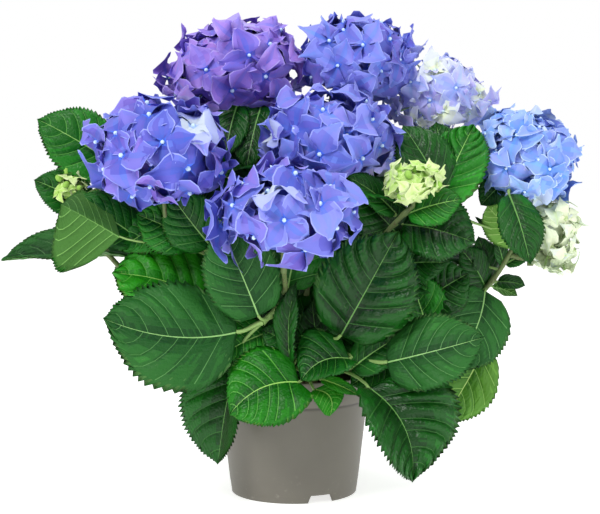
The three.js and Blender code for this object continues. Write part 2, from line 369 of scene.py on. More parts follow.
# ---- canes ----------------------------------------------------------------------------------

HEADS = ("front", "left", "green", "centre", "top", "purple", "pale", "blue", "cream",
         "bud_left", "back_left", "back", "back_right")
CANE_STEPS = 40
CANE_BENDS = 4
CANE_FOOT, CANE_END = 2 * MM, 6 * MM


def centreline(node):
    """The middle of a cane's solid, from its foot to its end, fitted along its height or its length."""
    places = vertices_of(node)
    foot = places[places[:, 2] <= places[:, 2].min() + CANE_FOOT].mean(0)
    far = places[np.linalg.norm(places - foot, axis=1).argmax()]
    end = places[np.linalg.norm(places - far, axis=1) < CANE_END].mean(0)
    chord = unit(end - foot)
    along = (places - foot) @ chord / np.linalg.norm(end - foot)
    fit = np.polynomial.Polynomial.fit
    share = np.linspace(0, 1, CANE_STEPS)
    return np.stack([fit(along, places[:, axis], CANE_BENDS)(share) for axis in range(3)], 1)


CANES = {head: centreline("cane_" + head) for head in HEADS}


def on_cane(head, share):
    line = CANES[head]
    spot = np.clip(share, 0, 1) * (len(line) - 1)
    low = min(int(spot), len(line) - 2)
    return line[low] + (line[low + 1] - line[low]) * (spot - low)


# ---- leaf blades ----------------------------------------------------------------------------

# Zones of a blade, in the order of each tone's finishes: the blade from dark to light, then its veins.
BLADES = 4
VEIN, MIDRIB, UNDER, UNDER_VEIN = range(BLADES, BLADES + 4)
ZONES = BLADES + 4

# Each tone's blade where it is darkest and lightest, its side veins and midrib, its underside and the
# underside's veins.
# The blade's steps from dark to light also carry the painted highlight and painted shade of its bulges.
TONES = {
    "deep": ((2, 42, 4), (20, 98, 18), (50, 112, 38), (104, 158, 78), (56, 102, 44), (100, 144, 78)),
    "green": ((4, 54, 8), (28, 112, 26), (66, 130, 48), (132, 186, 98), (68, 118, 50), (110, 156, 80)),
    "fresh": ((8, 72, 10), (40, 138, 30), (82, 154, 54), (146, 200, 104), (64, 112, 44), (112, 164, 78)),
    "bright": ((6, 76, 4), (36, 134, 16), (84, 160, 52), (150, 204, 96), (86, 140, 54), (134, 184, 92)),
    "matte": ((22, 68, 26), (46, 112, 42), (80, 138, 68), (140, 190, 112), (72, 118, 58), (110, 156, 88)),
    "yellow": ((52, 106, 24), (108, 164, 60), (140, 188, 88), (176, 210, 116), (106, 156, 66),
               (160, 200, 108)),
}
TONE_NAMES = tuple(TONES)

# A blade's columns from midrib to margin, its pairs of side veins and the teeth between two of them.
COLUMNS = np.array([0.0, 0.14, 0.32, 0.52, 0.72, 0.88, 1.0])
PLAIN_COLUMNS = [0, 1, 3, 4, 6]
FINE_VEINS, PLAIN_VEINS = (6, 4), (5, 3)

MIDRIB_HALF, MIDRIB_SINKS, MIDRIB_PROUD = 0.75 * MM, 0.5 * MM, 0.9 * MM
VEIN_HALF, VEIN_PROUD, VEIN_STAGGER = 0.33 * MM, 0.45 * MM, 0.022
THICKNESS, NARROWEST, UNEVEN = 0.35 * MM, 0.2 * MM, 0.16 * MM
PUCKER, USUAL_LENGTH = 2.0 * MM, 100 * MM
SWEEP, WAVE, TOOTH = 0.5, 0.05, 0.017

# How a leaf grows unless it is told otherwise: how far it arches, each half's fold in degrees, how far
# its margins bend down, its tip curls and its midrib bends aside, how puckered, toothed, tapered and
# lobed it is, how much lighter than its tone, whether it has the fine grid, and the piece it is part of.
USUAL_WAYS = {"rise": 0.08, "fold": (12, 12), "cup": 0.16, "curl": 0.0, "bend": 0.0, "pucker": 1.0,
              "bite": 1.0, "taper": 0.42, "lobe": 0.1, "light": 0.0, "fine": False,
              "sheaf": "leaves_front"}
LIGHT_STRAYS = 0.05
ROW_CROWD, ROW_JITTER, NOTCH = 1.05, 0.016, -0.35

# How leaves share one map: cells in a row, how full each is, and a lane for either side of the leaf.
MAPS_IN_ROW, CELL_FULL = 12, 0.95
UPPER_LANE, LANE_HALF, UNDER_LANE = 0.25, 0.22, (0, 0.5)

# Petioles: how far below its leaf one leaves the cane if it can, how it bows, how it meets the midrib
# and how far it runs into the blade, then how it flares at the cane and thins towards the leaf.
PETIOLE_STEPS = 9
PETIOLE_DROP, DROP_WEIGHT = 6 * MM, 0.8
PETIOLE_BOW, PETIOLE_EASE, PETIOLE_SEAT = 0.3, 16 * MM, 1.5
PETIOLE_FLARE, PETIOLE_THINS = 1.25, 0.45
TWIG_RISE = 5 * MM
TWIG_GIRTHS = np.array((1.3, 1.1, 1, 1, 1, 1, 1.05, 1.25, 1.45))

sheafs = {}
stalks = []


def outline(v, taper):
    """Half the width of a blade at each share of its length, as a share of its widest."""
    drawn_out = np.clip((v - 0.72) / 0.28, 0, 1) ** 1.4
    drip = np.clip((v - 0.92) / 0.08, 0, 1)
    return np.sin(np.pi * np.clip(v, 0, 1) ** 0.92) ** 0.6 * (1 - taper * drawn_out) * (1 - 0.82 * drip)


def leaf_rows(pairs, teeth, length, rng):
    """Rows that follow the side veins: their starts, teeth and phases, and whether a vein follows."""
    stations = np.linspace(0, 1, pairs + 2) ** ROW_CROWD
    stations[1:-1] += rng.uniform(-ROW_JITTER, ROW_JITTER, pairs)
    half = VEIN_HALF / length
    starts, tips, phases, veins = [], [], [], []
    for k in range(pairs + 1):
        low = stations[k] + (half if k else 0)
        high = stations[k + 1] - (half if k < pairs else 0)
        for j in range(2 * teeth + 1):
            phase = j / (2 * teeth)
            starts.append(low + (high - low) * phase)
            tips.append(1.0 if j % 2 == 0 else NOTCH)
            phases.append(phase)
            veins.append(j == 2 * teeth and k < pairs)
    return np.array(starts), np.array(tips), np.array(phases), np.array(veins)


def blade_faces(rows, wide):
    """The faces of both sides of a blade. The underside shares the margin, the foot and the tip."""
    middle = wide // 2
    grid = np.arange(rows * wide).reshape(rows, wide)
    grid[0, :] = grid[0, middle]
    grid[-1, :] = grid[-1, middle]
    low = grid + rows * wide
    low[:, 0], low[:, -1] = grid[:, 0], grid[:, -1]
    low[0, :], low[-1, :] = grid[0, :], grid[-1, :]
    return np.concatenate([grid_quads(grid), grid_quads(low)[:, ::-1]])


def blade_zones(p, phase, vein, size, waves, lighter, rng):
    """The zone of each face: darkest beside the veins and the midrib, lightest at the margin. The lighter
    middle of each bulge between side veins is a painted highlight, and the dark beside the veins painted
    shade.
    """
    rows, both = len(p) - 1, size[:-1] + size[1:]
    on_vein = np.repeat(vein[:-1], len(both)) & (np.tile(both, rows) < 1.84)
    on_rib = np.tile((size[:-1] == 0) & (size[1:] == 0), rows)
    out = both / 2
    # Painted highlight on the middle of each bulge between side veins, and painted shade where the blade
    # dips to the veins.
    painted_bulge_light = np.sin(np.pi * (phase[:-1] + phase[1:]) / 2)[:, None]
    drift = np.sin(5 * p[:-1, None] + waves[0]) * np.sin(3.2 * out + waves[1])
    light = 0.1 + 0.5 * out ** 1.3 + 0.3 * painted_bulge_light * np.sin(np.pi * out) + 0.2 * drift
    light += lighter + rng.normal(0, LIGHT_STRAYS, light.shape)
    blade = step_of(light, BLADES).ravel()
    zone = np.where(on_rib, MIDRIB, np.where(on_vein, VEIN, blade))
    return np.concatenate([zone, np.where(on_rib | on_vein, UNDER_VEIN, UNDER)])


def grow_leaf(foot, tip, width, facing, tone, rng, **ways):
    """Adds one blade, grown in the usual way but for the ways given."""
    ways = {**USUAL_WAYS, **ways}
    foot, tip = np.array(foot), np.array(tip)
    length = np.linalg.norm(tip - foot)
    along = unit(tip - foot)
    up = np.array(facing, float)
    up = unit(up - along * (up @ along))
    across = np.cross(up, along)
    pairs, teeth = FINE_VEINS if ways["fine"] else PLAIN_VEINS
    columns = COLUMNS if ways["fine"] else COLUMNS[PLAIN_COLUMNS]
    taper = ways["taper"]
    p, tooth, phase, vein = leaf_rows(pairs, teeth, length, rng)
    share = np.concatenate([-columns[::-1], columns])
    size = np.abs(share)
    half_at = np.maximum(outline(p, taper) * width / 2, NARROWEST)
    middle = np.clip(MIDRIB_HALF * (1.15 - p) / half_at, 0, 0.5)[:, None]
    u = middle + (1 - middle) * size
    lift = 1.9 * np.maximum(p, 1e-6) ** 0.6 * (1 - p)
    side = np.repeat((-1.0, 1.0), len(columns))
    # The veins of one half start a little before those of the other, and sweep more or less.
    sweep = SWEEP * np.where(side < 0, *rng.uniform(0.88, 1.14, 2))
    ahead = VEIN_STAGGER * rng.choice((-1, 1)) * side * np.sin(np.pi * p)[:, None]
    v = p[:, None] + ahead + sweep * lift[:, None] * u ** 1.2
    v = np.minimum(np.maximum.accumulate(np.maximum(v, 0), 0), 1)
    half = outline(v, taper) * width / 2
    # The blade bulges between its side veins, most halfway to the margin.
    crown = np.sin(np.pi * phase)[:, None] ** 0.7
    reach = (size ** 0.5 * (1 - size) ** 0.35) * 1.6
    pucker = ways["pucker"] * PUCKER * (length / USUAL_LENGTH)
    z = pucker * crown * reach
    z += rng.normal(0, UNEVEN, z.shape) * (size < 0.95) * crown
    z -= MIDRIB_SINKS * (size == 0)
    # Each half is folded up from the midrib and bent down towards its margin.
    angle = np.radians(np.where(side < 0, *ways["fold"]))
    spread = u * half
    y = side * spread * np.cos(angle)
    z += spread * np.sin(angle) - ways["cup"] * u ** 2 * half
    waves = rng.uniform(0, 2 * np.pi, 2)
    swell = np.where(side < 0, *waves)
    z += WAVE * width * np.sin(2 * np.pi * 1.7 * v + swell) * u ** 2.5 * np.sin(np.pi * v)
    # Teeth point outwards and towards the tip.
    edge = size == 1
    keen = np.clip(np.minimum((v - 0.04) / 0.12, (0.995 - v) / 0.05), 0, 1) * tooth[:, None] * edge
    bite = ways["bite"] * TOOTH * length * (0.6 + 0.4 * half / (width / 2))
    y += side * keen * bite
    x = v * length + keen * bite * 0.75
    x -= ways["lobe"] * length * u ** 1.5 * (half / (width / 2)) * (1 - v) ** 3
    arch = 4 * v * (1 - v)
    z += ways["rise"] * length * arch
    z -= ways["curl"] * length * np.clip((v - 0.7) / 0.3, 0, 1) ** 2
    y += ways["bend"] * length * arch
    top = foot + x[..., None] * along + y[..., None] * across + z[..., None] * up
    # The veins stand proud of the underside.
    sunk = np.full(z.shape, THICKNESS)
    ribs = vein | np.roll(vein, 1)
    sunk += VEIN_PROUD * ribs[:, None] * (size < 0.9)
    sunk += MIDRIB_PROUD * (size == 0) * (1 - p)[:, None]
    under = top - sunk[..., None] * up
    paints = blade_zones(p, phase, vein, size, waves, ways["light"], rng)
    quads = blade_faces(len(p), len(share))
    sheaf = sheafs.setdefault(ways["sheaf"], Sheaf())
    corner = np.array([len(sheaf.parts) % MAPS_IN_ROW, len(sheaf.parts) // MAPS_IN_ROW]) / MAPS_IN_ROW
    flat = np.stack([v, UPPER_LANE + LANE_HALF * side * u], -1).reshape(-1, 2)
    places = corner + np.concatenate([flat, flat + UNDER_LANE]) * CELL_FULL / MAPS_IN_ROW
    points = np.concatenate([top.reshape(-1, 3), under.reshape(-1, 3)])
    sheaf.add(points, quads, paints + ZONES * TONE_NAMES.index(tone), places)


def bezier(points, count):
    share = np.linspace(0, 1, count)[:, None]
    a, b, c, d = (np.array(point) for point in points)
    left = 1 - share
    return left ** 3 * a + 3 * left ** 2 * share * b + 3 * left * share ** 2 * c + share ** 3 * d


def grow_petiole(head, foot, along, thick, share=None):
    """A leaf stalk from its cane to the foot of the blade, which it meets in line with the midrib."""
    line = CANES[head]
    if share is None:
        above = np.maximum(line[:, 2] - foot[2] + PETIOLE_DROP, 0)
        start = line[(np.linalg.norm(line - foot, axis=1) + DROP_WEIGHT * above).argmin()]
    else:
        start = on_cane(head, share)
    reach = np.linalg.norm(foot - start)
    out = unit(foot - start + np.array((0, 0, PETIOLE_BOW * reach)))
    bends = start + out * reach * PETIOLE_BOW, foot - along * min(PETIOLE_BOW * reach, PETIOLE_EASE)
    path = bezier((start, *bends, foot + along * PETIOLE_SEAT * MM), PETIOLE_STEPS)
    thins = PETIOLE_THINS * np.linspace(0, 1, PETIOLE_STEPS) ** 0.5
    stalks.append((path, thick * (PETIOLE_FLARE - thins)))


def grow_twig(head, node, thick):
    """A short side shoot from a cane to the node that carries its leaves, where it is swollen."""
    line = CANES[head]
    start = line[np.linalg.norm(line - node, axis=1).argmin()]
    leaving = start + (node - start) * 0.3 + (0, 0, TWIG_RISE)
    path = bezier((start, leaving, node + (start - node) * 0.4, node), PETIOLE_STEPS)
    CANES[head + "_twig"] = path
    stalks.append((path, thick * TWIG_GIRTHS))


def front_leaves(rng):
    """The leaves that give the plant its outline and its front."""

    def leaf(mass, tip, length, width, points, lean, faces, tone, cane, stalk=1.9, share=None, **ways):
        """One leaf: where its tip lies in its mass, how long and wide it is, and how it hangs.

        points is the way from foot to tip seen from the front, 0 to the right and 90 upwards.
        lean is how far the tip comes forward, in degrees, and faces is where its upper side looks.
        """
        turn, forward = math.radians(points), math.radians(lean)
        along = np.array((math.cos(turn) * math.cos(forward), -math.sin(forward),
                          math.sin(turn) * math.cos(forward)))
        end = inside(mass if mass == "plant" else "foliage_" + mass, tip)
        foot = end - along * length * MM
        grow_leaf(foot, end, width * MM, faces, tone, rng, fine=True, **ways)
        grow_petiole(cane, foot, along, stalk * MM, share)

    leaf("left_top", (0.03, 0.49, 0.96), 103, 74, 148, 8, (-0.1, -0.85, 0.5), "fresh", "bud_left",
         fold=(14, 10), cup=0.2, lobe=0.16)
    leaf("left_small", (0.07, 0.41, 0.89), 68, 50, 153, 13, (0, -0.9, 0.4), "green", "bud_left",
         fold=(16, 16))
    leaf("far_left", (-0.01, 0.54, 0.52), 148, 82, -179, 7, (0, -0.1, 1), "matte", "bud_left",
         fold=(56, 16), rise=0.02, cup=0.06, taper=0.6)
    leaf("left_pale", (0.03, -0.10, 1.06), 70, 122, 149, 13, (-0.1, 0.9, 0.3), "fresh", "left",
         fold=(-4, 84), rise=0.03, cup=0.08, lobe=-0.12, share=0.68, stalk=1.2, taper=0.5)
    leaf("plant", (0.129, 0.308, 0.622), 81, 62, 147, 13, (0.1, -0.8, 0.5), "green", "left",
         fold=(6, 20))
    leaf("left_shade", (0.05, 0.02, 0.46), 79, 62, -153, 25, (-0.1, -0.85, 0.5), "fresh", "left",
         fold=(10, 16))
    leaf("plant", (0.292, 0.273, 0.637), 70, 62, 127, 5, (-0.35, -0.8, 0.4), "green", "left",
         pucker=1.6, light=0.1)
    leaf("plant", (0.235, 0.290, 0.595), 65, 60, 155, 4, (-0.1, -0.85, 0.4), "fresh", "left",
         pucker=1.4)
    leaf("plant", (0.321, 0.374, 0.649), 73, 58, 133, 10, (0.1, -0.9, 0.4), "deep", "front")
    leaf("plant", (0.416, 0.431, 0.674), 75, 46, -103, 21, (-0.2, -0.9, 0.3), "deep", "purple")
    leaf("plant", (0.380, 0.440, 0.697), 64, 42, -102, 26, (-0.3, -0.9, 0.2), "deep", "purple")
    leaf("mid_gap", (0.42, 0.29, 1.06), 97, 58, 102, -15, (0, -0.9, 0.4), "deep", "purple")
    # left_mid is made far lighter than its tone: a painted highlight for the light that falls on it.
    leaf("left_mid", (0.03, -0.10, 0.74), 124, 122, 159, 13, (0.05, -0.8, 0.6), "bright", "left",
         fold=(4, 10), pucker=2.2, bend=-0.05, light=0.6)
    leaf("left_low", (0.01, -0.10, 0.80), 140, 116, 172, 13, (0.05, -0.9, 0.42), "matte", "front_twig",
         fold=(6, 8), rise=0.05, bend=0.1, stalk=2.7, lobe=0.14, bite=1.3)
    leaf("left_hang", (0.36, 0.02, -0.01), 113, 98, -100, 10, (-0.2, -0.95, 0.1), "deep", "front_twig",
         fold=(4, -86), light=0.2, bite=1.4)
    leaf("centre_left", (0.13, 0.02, 1.06), 105, 80, 112, 7, (0.1, -0.95, 0.2), "matte", "front",
         lobe=0.14)
    leaf("plant", (0.512, 0.308, 0.612), 89, 76, 80, -3, (0.1, -0.85, 0.5), "fresh", "front")
    leaf("plant", (0.502, 0.255, 0.465), 85, 38, 86, 3, (-0.75, -0.65, 0.1), "deep", "centre",
         fold=(24, 24))
    leaf("centre_right", (0.85, 0.02, 0.99), 125, 106, 62, 6, (0.1, -0.95, 0.3), "deep", "centre",
         pucker=2.6, stalk=2.2, lobe=0.14, light=-0.05)
    leaf("front_bright", (0.15, 0.01, -0.01), 80, 90, -157, 15, (-0.1, -0.85, 0.5), "bright", "front",
         fold=(6, 10), bend=-0.12, lobe=0.42)
    leaf("front_dark", (0.05, -0.20, -0.02), 57, 78, -158, 16, (0.0, -0.85, 0.5), "green", "centre",
         fold=(2, 46), pucker=1.8, bend=-0.16, lobe=0.34)
    leaf("plant", (0.377, 0.286, 0.317), 53, 62, -156, 15, (-0.1, -0.85, 0.5), "fresh", "front")
    leaf("plant", (0.443, 0.299, 0.365), 47, 46, 149, 7, (0.2, -0.8, 0.6), "deep", "front")
    leaf("plant", (0.585, 0.303, 0.670), 69, 38, 142, 17, (0.2, -0.75, 0.6), "green", "centre")
    leaf("plant", (0.595, 0.334, 0.639), 74, 66, 135, 13, (0.2, -0.9, 0.3), "deep", "centre")
    leaf("plant", (0.777, 0.273, 0.626), 59, 46, 16, 10, (0, -0.8, 0.5), "fresh", "green",
         fold=(8, 4), pucker=1.4)
    leaf("right_upper", (1.01, 0.18, 0.45), 81, 80, -13, 19, (0.1, -0.8, 0.6), "deep", "green",
         pucker=1.8)
    # right_top is made lighter than its tone: a painted highlight for the gloss on it.
    leaf("right_top", (1.11, 1.51, 0.93), 95, 72, 64, -22, (-0.1, -0.8, 0.5), "fresh", "green",
         pucker=3.0, fold=(16, 4), lobe=0.2, taper=0.3, light=0.25)
    leaf("plant", (0.683, 0.422, 0.764), 99, 66, 120, -14, (0.2, -0.9, 0.3), "deep", "green",
         pucker=0.6, light=0.1, taper=0.3)
    leaf("plant", (0.741, 0.453, 0.770), 80, 58, 100, -13, (0, -0.9, 0.3), "green", "green",
         pucker=1.6, light=-0.1)
    leaf("plant", (0.720, 0.387, 0.491), 61, 54, 114, 9, (0, -0.9, 0.3), "deep", "green", pucker=1.5)
    leaf("right_inner", (0.70, 0.24, 0.71), 79, 62, 108, -2, (0, -0.95, 0.2), "fresh", "green",
         pucker=0.5)
    leaf("plant", (0.686, 0.286, 0.361), 69, 48, 35, 8, (0, -0.85, 0.5), "green", "green")
    leaf("right_low", (0.98, 0.02, 0.72), 106, 82, 17, 13, (-0.05, -0.85, 0.5), "matte", "green",
         fold=(10, 4), bend=-0.04, stalk=2.6, lobe=0.14)
    leaf("right_hang", (0.80, 0.02, -0.02), 106, 126, -65, 14, (0.1, -0.95, 0.3), "deep", "green",
         fold=(52, 4), pucker=2.8, bend=0.14, lobe=0.3, light=0.15, bite=1.6)
    leaf("plant", (0.593, 0.325, 0.248), 58, 44, -153, 14, (0, -0.85, 0.5), "green", "green",
         light=-0.1)
    leaf("plant", (0.759, 0.374, 0.491), 56, 46, 3, 6, (0, -0.85, 0.4), "deep", "green", light=0.1)
    leaf("plant", (0.796, 0.374, 0.470), 56, 64, 33, 8, (0, -0.85, 0.4), "deep", "green", pucker=1.5)
    leaf("right_mid", (0.04, 0.08, -0.07), 98, 74, -117, 23, (0.3, -0.9, 0.3), "matte", "blue",
         bend=0.06, lobe=0.16)
    leaf("right_yellow", (-0.03, 0.13, -0.07), 97, 68, -122, 17, (0.2, -0.9, 0.2), "yellow", "blue")
    leaf("plant", (0.785, 0.457, 0.513), 55, 44, 123, 15, (0.1, -0.8, 0.6), "deep", "blue")
    leaf("plant", (0.818, 0.488, 0.534), 57, 40, 101, 8, (0.5, -0.8, 0.2), "deep", "blue")
    leaf("under_blue", (0.50, 0.02, -0.02), 79, 48, -74, 19, (0.2, -0.95, 0.2), "deep", "blue",
         light=0.15, taper=0.7)
    leaf("plant", (0.818, 0.435, 0.601), 43, 34, -136, 13, (-0.2, -0.9, 0.2), "deep", "blue")
    leaf("plant", (0.827, 0.405, 0.603), 59, 46, 130, 14, (0.2, 0.9, 0.2), "yellow", "blue",
         cup=0.3, taper=0.3)
    leaf("plant", (0.901, 0.484, 0.432), 31, 24, -6, 15, (0, -0.6, 0.8), "deep", "blue")
    leaf("plant", (0.889, 0.501, 0.409), 29, 22, -20, 12, (0, 0.7, 0.7), "fresh", "blue")
    leaf("plant", (0.811, 0.471, 0.576), 36, 9, 131, 13, (0.3, -0.9, 0.2), "deep", "blue",
         fold=(50, 30))
    leaf("plant", (0.847, 0.471, 0.532), 34, 17, 108, 14, (0.3, -0.9, 0.2), "deep", "blue")
    leaf("plant", (0.912, 0.493, 0.505), 33, 18, 30, 11, (0.2, -0.9, 0.3), "green", "blue")
    leaf("plant", (0.606, 0.242, 0.242), 44, 15, -20, 19, (0, -0.8, 0.6), "bright", "centre",
         light=0.4, pucker=0.5)
    leaf("plant", (0.557, 0.237, 0.200), 34, 32, -58, 28, (-0.1, -0.8, 0.5), "bright", "centre",
         bend=0.3, pucker=0.4, light=0.6, taper=0.1)


# Masses behind the front, how far the low ones' leaves are lifted, and the canes that carry them all.
BACK_MASSES = tuple(f"foliage_back_{tier}_{k}" for tier, many in (("low", 4), ("mid", 4), ("high", 2))
                    for k in range(1, many + 1))
LOW_LIFT = 20 * MM
BACK_CANES = ("pale", "back_right", "back", "back_left", "purple")

# How long the leaves of each part of the plant are, in millimetres, and how broad for their length.
LENGTHS = {"back": (96, 122), "inner": (70, 98), "flank": (78, 98), "shade": (74, 100)}
BREADTHS = {"back": (0.66, 0.76), "inner": (0.66, 0.78), "flank": (0.64, 0.76), "shade": (0.62, 0.76)}

# How leaves fan out in a mass: share of the way out, aside in millimetres, turn in degrees, and drop.
BACK_FAN = ((1.0, 0.0, 0, 0.0), (0.82, 34, 26, 0.05), (0.82, -34, -26, 0.05), (0.62, 12, -10, 0.35),
            (0.6, -20, 12, -0.3))

# How far up their canes the pairs of inner leaves sit, how long their stalks are, how far forward and
# out they may reach, and how far below the end of the cane they stop, in millimetres.
NODE_SHARES = (0.34, 0.56, 0.78)
INNER_STALKS = (14, 26)
INNER_FRONT, INNER_REACH, INNER_GAP = -70, 175, 10


def nearest_cane(place, canes):
    return min(canes, key=lambda head: np.linalg.norm(CANES[head] - place, axis=1).min())


def loose_leaf(rng, part, cane, foot, tip, way, length, facing, tone, share=None,
               folds=(4, 16), thick=1.6, spans=None, **ways):
    """A leaf with its petiole. Its breadth, its folds and the ways in spans fall between two bounds."""
    width = length * rng.uniform(*BREADTHS[part])
    fold = (rng.uniform(*folds), rng.uniform(*folds))
    dealt = {name: rng.uniform(*span) for name, span in (spans or {}).items()}
    grow_leaf(foot, tip, width, facing, tone, rng, fold=fold, **dealt, **ways)
    grow_petiole(cane, foot, way, thick * MM, share)


def back_leaves(rng):
    """Each mass behind becomes a few overlapping leaves that fan out from its cane."""
    for mass in BACK_MASSES:
        places = vertices_of(mass)
        radius = np.linalg.norm(places[:, :2], axis=1)
        root, end = places[radius.argmin()], places[radius.argmax()]
        axis = end - root
        out = unit(axis * (1, 1, 0))
        sideways = np.cross((0, 0, 1), out)
        cane = nearest_cane(root, BACK_CANES)
        for share, aside, turn, drop in BACK_FAN:
            length = rng.uniform(*LENGTHS["back"]) * MM
            tip = root + axis * share + sideways * (aside + rng.uniform(-5, 5)) * MM
            if "low" in mass:
                tip += (0, 0, LOW_LIFT)
            turn = math.radians(turn + rng.uniform(-8, 8))
            way = out * math.cos(turn) + sideways * math.sin(turn)
            way = unit(way + np.array((0, 0, unit(axis)[2] * 0.8 - drop)))
            facing = np.array((0, 0, 1.0)) + out * rng.uniform(0.2, 0.7)
            tone = ("deep", "green", "green", "fresh")[rng.integers(4)]
            loose_leaf(rng, "back", cane, tip - way * length, tip, way, length, facing, tone,
                       folds=(6, 18), thick=1.7, spans={"rise": (0.04, 0.12), "curl": (0, 0.1)},
                       sheaf="leaves_back")


def inner_leaves(rng):
    """Pairs of leaves at the nodes up each cane, crosswise, darker and inside the plant."""
    for head in HEADS:
        if head in ("cream", "bud_left"):
            continue
        line = CANES[head]
        bearing = rng.uniform(0, np.pi)
        for share in NODE_SHARES:
            start = on_cane(head, share)
            bearing += np.pi / 2
            for turn in (bearing, bearing + np.pi):
                turn += rng.uniform(-0.4, 0.4)
                way = unit(np.array((math.cos(turn), math.sin(turn), rng.uniform(0.1, 0.7))))
                length = rng.uniform(*LENGTHS["inner"]) * MM
                foot = start + way * rng.uniform(*INNER_STALKS) * MM
                tip = foot + way * length
                ahead = min(tip[1], foot[1]) < INNER_FRONT * MM
                wide = np.linalg.norm(tip[:2]) > INNER_REACH * MM
                if ahead or wide or tip[2] > line[-1][2] - INNER_GAP * MM:
                    continue
                facing = np.array((0, -0.35, 1.0)) + way * (0.2, 0.2, 0)
                loose_leaf(rng, "inner", head, foot, tip, way, length, facing, "deep", share,
                           spans={"rise": (0.04, 0.12)}, sheaf="leaves_inner")


# Tiers of leaves deep inside the front: height, from and to across, depth, and how many, then how far
# each leaf strays and the height that they fan out from, in millimetres.
SHADE_TIERS = ((205, -110, 120, -50, 6), (255, -165, 150, -22, 8), (305, -185, 135, 8, 8),
               (350, -110, 90, 30, 5), (405, -95, 25, 40, 4))
TIER_STRAYS = (-14, 14)
FAN_HEIGHT = 120

# Leaves on both flanks of the front: how far out, how deep and how high their tips are, in millimetres.
FLANKS = ((112, -74, 165), (160, -44, 215), (142, -72, 225), (160, -50, 275), (134, -62, 300),
          (112, -36, 335))
FLANK_STRAYS = 5


def flank_leaves(rng):
    """Leaves that fill both flanks of the plant behind its front."""
    for side in (-1, 1):
        for out, depth, height in FLANKS:
            tip = (np.array((side * out, depth, height)) + rng.normal(0, FLANK_STRAYS, 3)) * MM
            way = unit(np.array((side, rng.uniform(-0.4, 0.1), rng.uniform(-0.5, 0.2))))
            length = rng.uniform(*LENGTHS["flank"]) * MM
            foot = tip - way * length
            tone = ("deep", "green", "fresh")[rng.integers(3)]
            loose_leaf(rng, "flank", nearest_cane(foot, HEADS), foot, tip, way, length,
                       (side * 0.5, -0.1, 0.8), tone, sheaf="leaves_inner")


def shade_leaves(rng):
    """Leaves inside the plant that close its front, seen only between the others, a step darker than their
    tone as painted shade.
    """
    for height, first, last, depth, many in SHADE_TIERS:
        for k in range(many):
            share = (k + rng.uniform(0.25, 0.75)) / many
            tip = np.array((first + (last - first) * share, depth + rng.uniform(*TIER_STRAYS),
                            height + rng.uniform(*TIER_STRAYS))) * MM
            turn = math.atan2(tip[2] - FAN_HEIGHT * MM, tip[0]) + rng.uniform(-0.5, 0.5)
            way = unit(np.array((math.cos(turn), rng.uniform(-0.4, 0.1), math.sin(turn))))
            length = rng.uniform(*LENGTHS["shade"]) * MM
            foot = tip - way * length
            facing = np.array((rng.uniform(-0.3, 0.3), -0.85, rng.uniform(0.2, 0.6)))
            tone = ("deep", "deep", "green")[rng.integers(3)]
            # light=-0.1 darkens these inside leaves: painted shade.
            loose_leaf(rng, "shade", nearest_cane(foot, HEADS), foot, tip, way, length, facing, tone,
                       light=-0.1, sheaf="leaves_inner")


# ---- florets --------------------------------------------------------------------------------

# A floret is painted from its family's shades: WARMTHS from cool to warm in each of LIGHTS from deep
# to pale, then BLEACHES towards cream, then the edge, the throat, the pale throat and the eye.
WARMTHS, LIGHTS, BLEACHES = 7, 5, 3
RIM = WARMTHS * LIGHTS + BLEACHES
THROAT, PALE_THROAT, EYE = RIM + 1, RIM + 2, RIM + 3

# Each family's shades: cool deep, warm deep, cool pale, warm pale, cream, edge, throat, pale throat, eye.
FAMILIES = {
    "violet": ((52, 74, 184), (100, 72, 178), (126, 162, 244), (168, 152, 238), (220, 232, 212),
               (150, 160, 238), (70, 108, 224), (160, 186, 236), (204, 230, 252)),
    "purple": ((80, 88, 200), (128, 86, 188), (122, 128, 230), (178, 142, 226), (206, 200, 232),
               (172, 156, 232), (70, 88, 206), (150, 150, 224), (200, 224, 252)),
    "pale": ((128, 152, 236), (160, 150, 232), (200, 220, 252), (222, 212, 250), (230, 240, 208),
             (212, 222, 252), (136, 162, 236), (218, 234, 218), (210, 232, 246)),
    "sky": ((76, 134, 226), (108, 124, 224), (166, 204, 250), (180, 182, 242), (226, 238, 222),
            (188, 212, 248), (86, 140, 228), (196, 222, 228), (210, 234, 250)),
    "cream": ((196, 222, 158), (206, 216, 212), (224, 242, 184), (222, 232, 228), (240, 247, 212),
              (236, 246, 216), (200, 224, 148), (220, 236, 180), (206, 226, 170)),
    "green": ((156, 206, 84), (198, 224, 140), (196, 232, 124), (232, 244, 192), (240, 248, 208),
              (230, 244, 188), (160, 206, 80), (196, 226, 130), (150, 196, 84)),
}

# How each family's florets vary: the share of them, how warm, how light and how bleached they are.
MOODS = {
    "violet": ((0.24, 0.22, 0.32, 0), (0.24, 0.42, 0.4, 0), (0.18, 0.62, 0.46, 0), (0.2, 0.3, 0.62, 0),
               (0.1, 0.8, 0.36, 0), (0.0, 0.5, 0.75, 0.62)),
    "purple": ((0.3, 0.35, 0.3, 0), (0.3, 0.6, 0.42, 0), (0.22, 0.85, 0.5, 0), (0.15, 0.55, 0.72, 0),
               (0.03, 0.7, 0.9, 0.4)),
    "pale": ((0.36, 0.3, 0.45, 0), (0.3, 0.6, 0.5, 0), (0.22, 0.4, 0.7, 0.3), (0.16, 0.5, 0.85, 0.75)),
    "sky": ((0.4, 0.25, 0.4, 0), (0.26, 0.5, 0.45, 0), (0.22, 0.2, 0.75, 0.2), (0.1, 0.4, 0.85, 0.5)),
    "cream": ((0.4, 0.3, 0.5, 0.3), (0.35, 0.7, 0.7, 0.5), (0.25, 0.2, 0.8, 0.8)),
    "green": ((0.4, 0.3, 0.4, 0), (0.35, 0.6, 0.7, 0.3), (0.25, 0.8, 0.8, 0.6)),
}

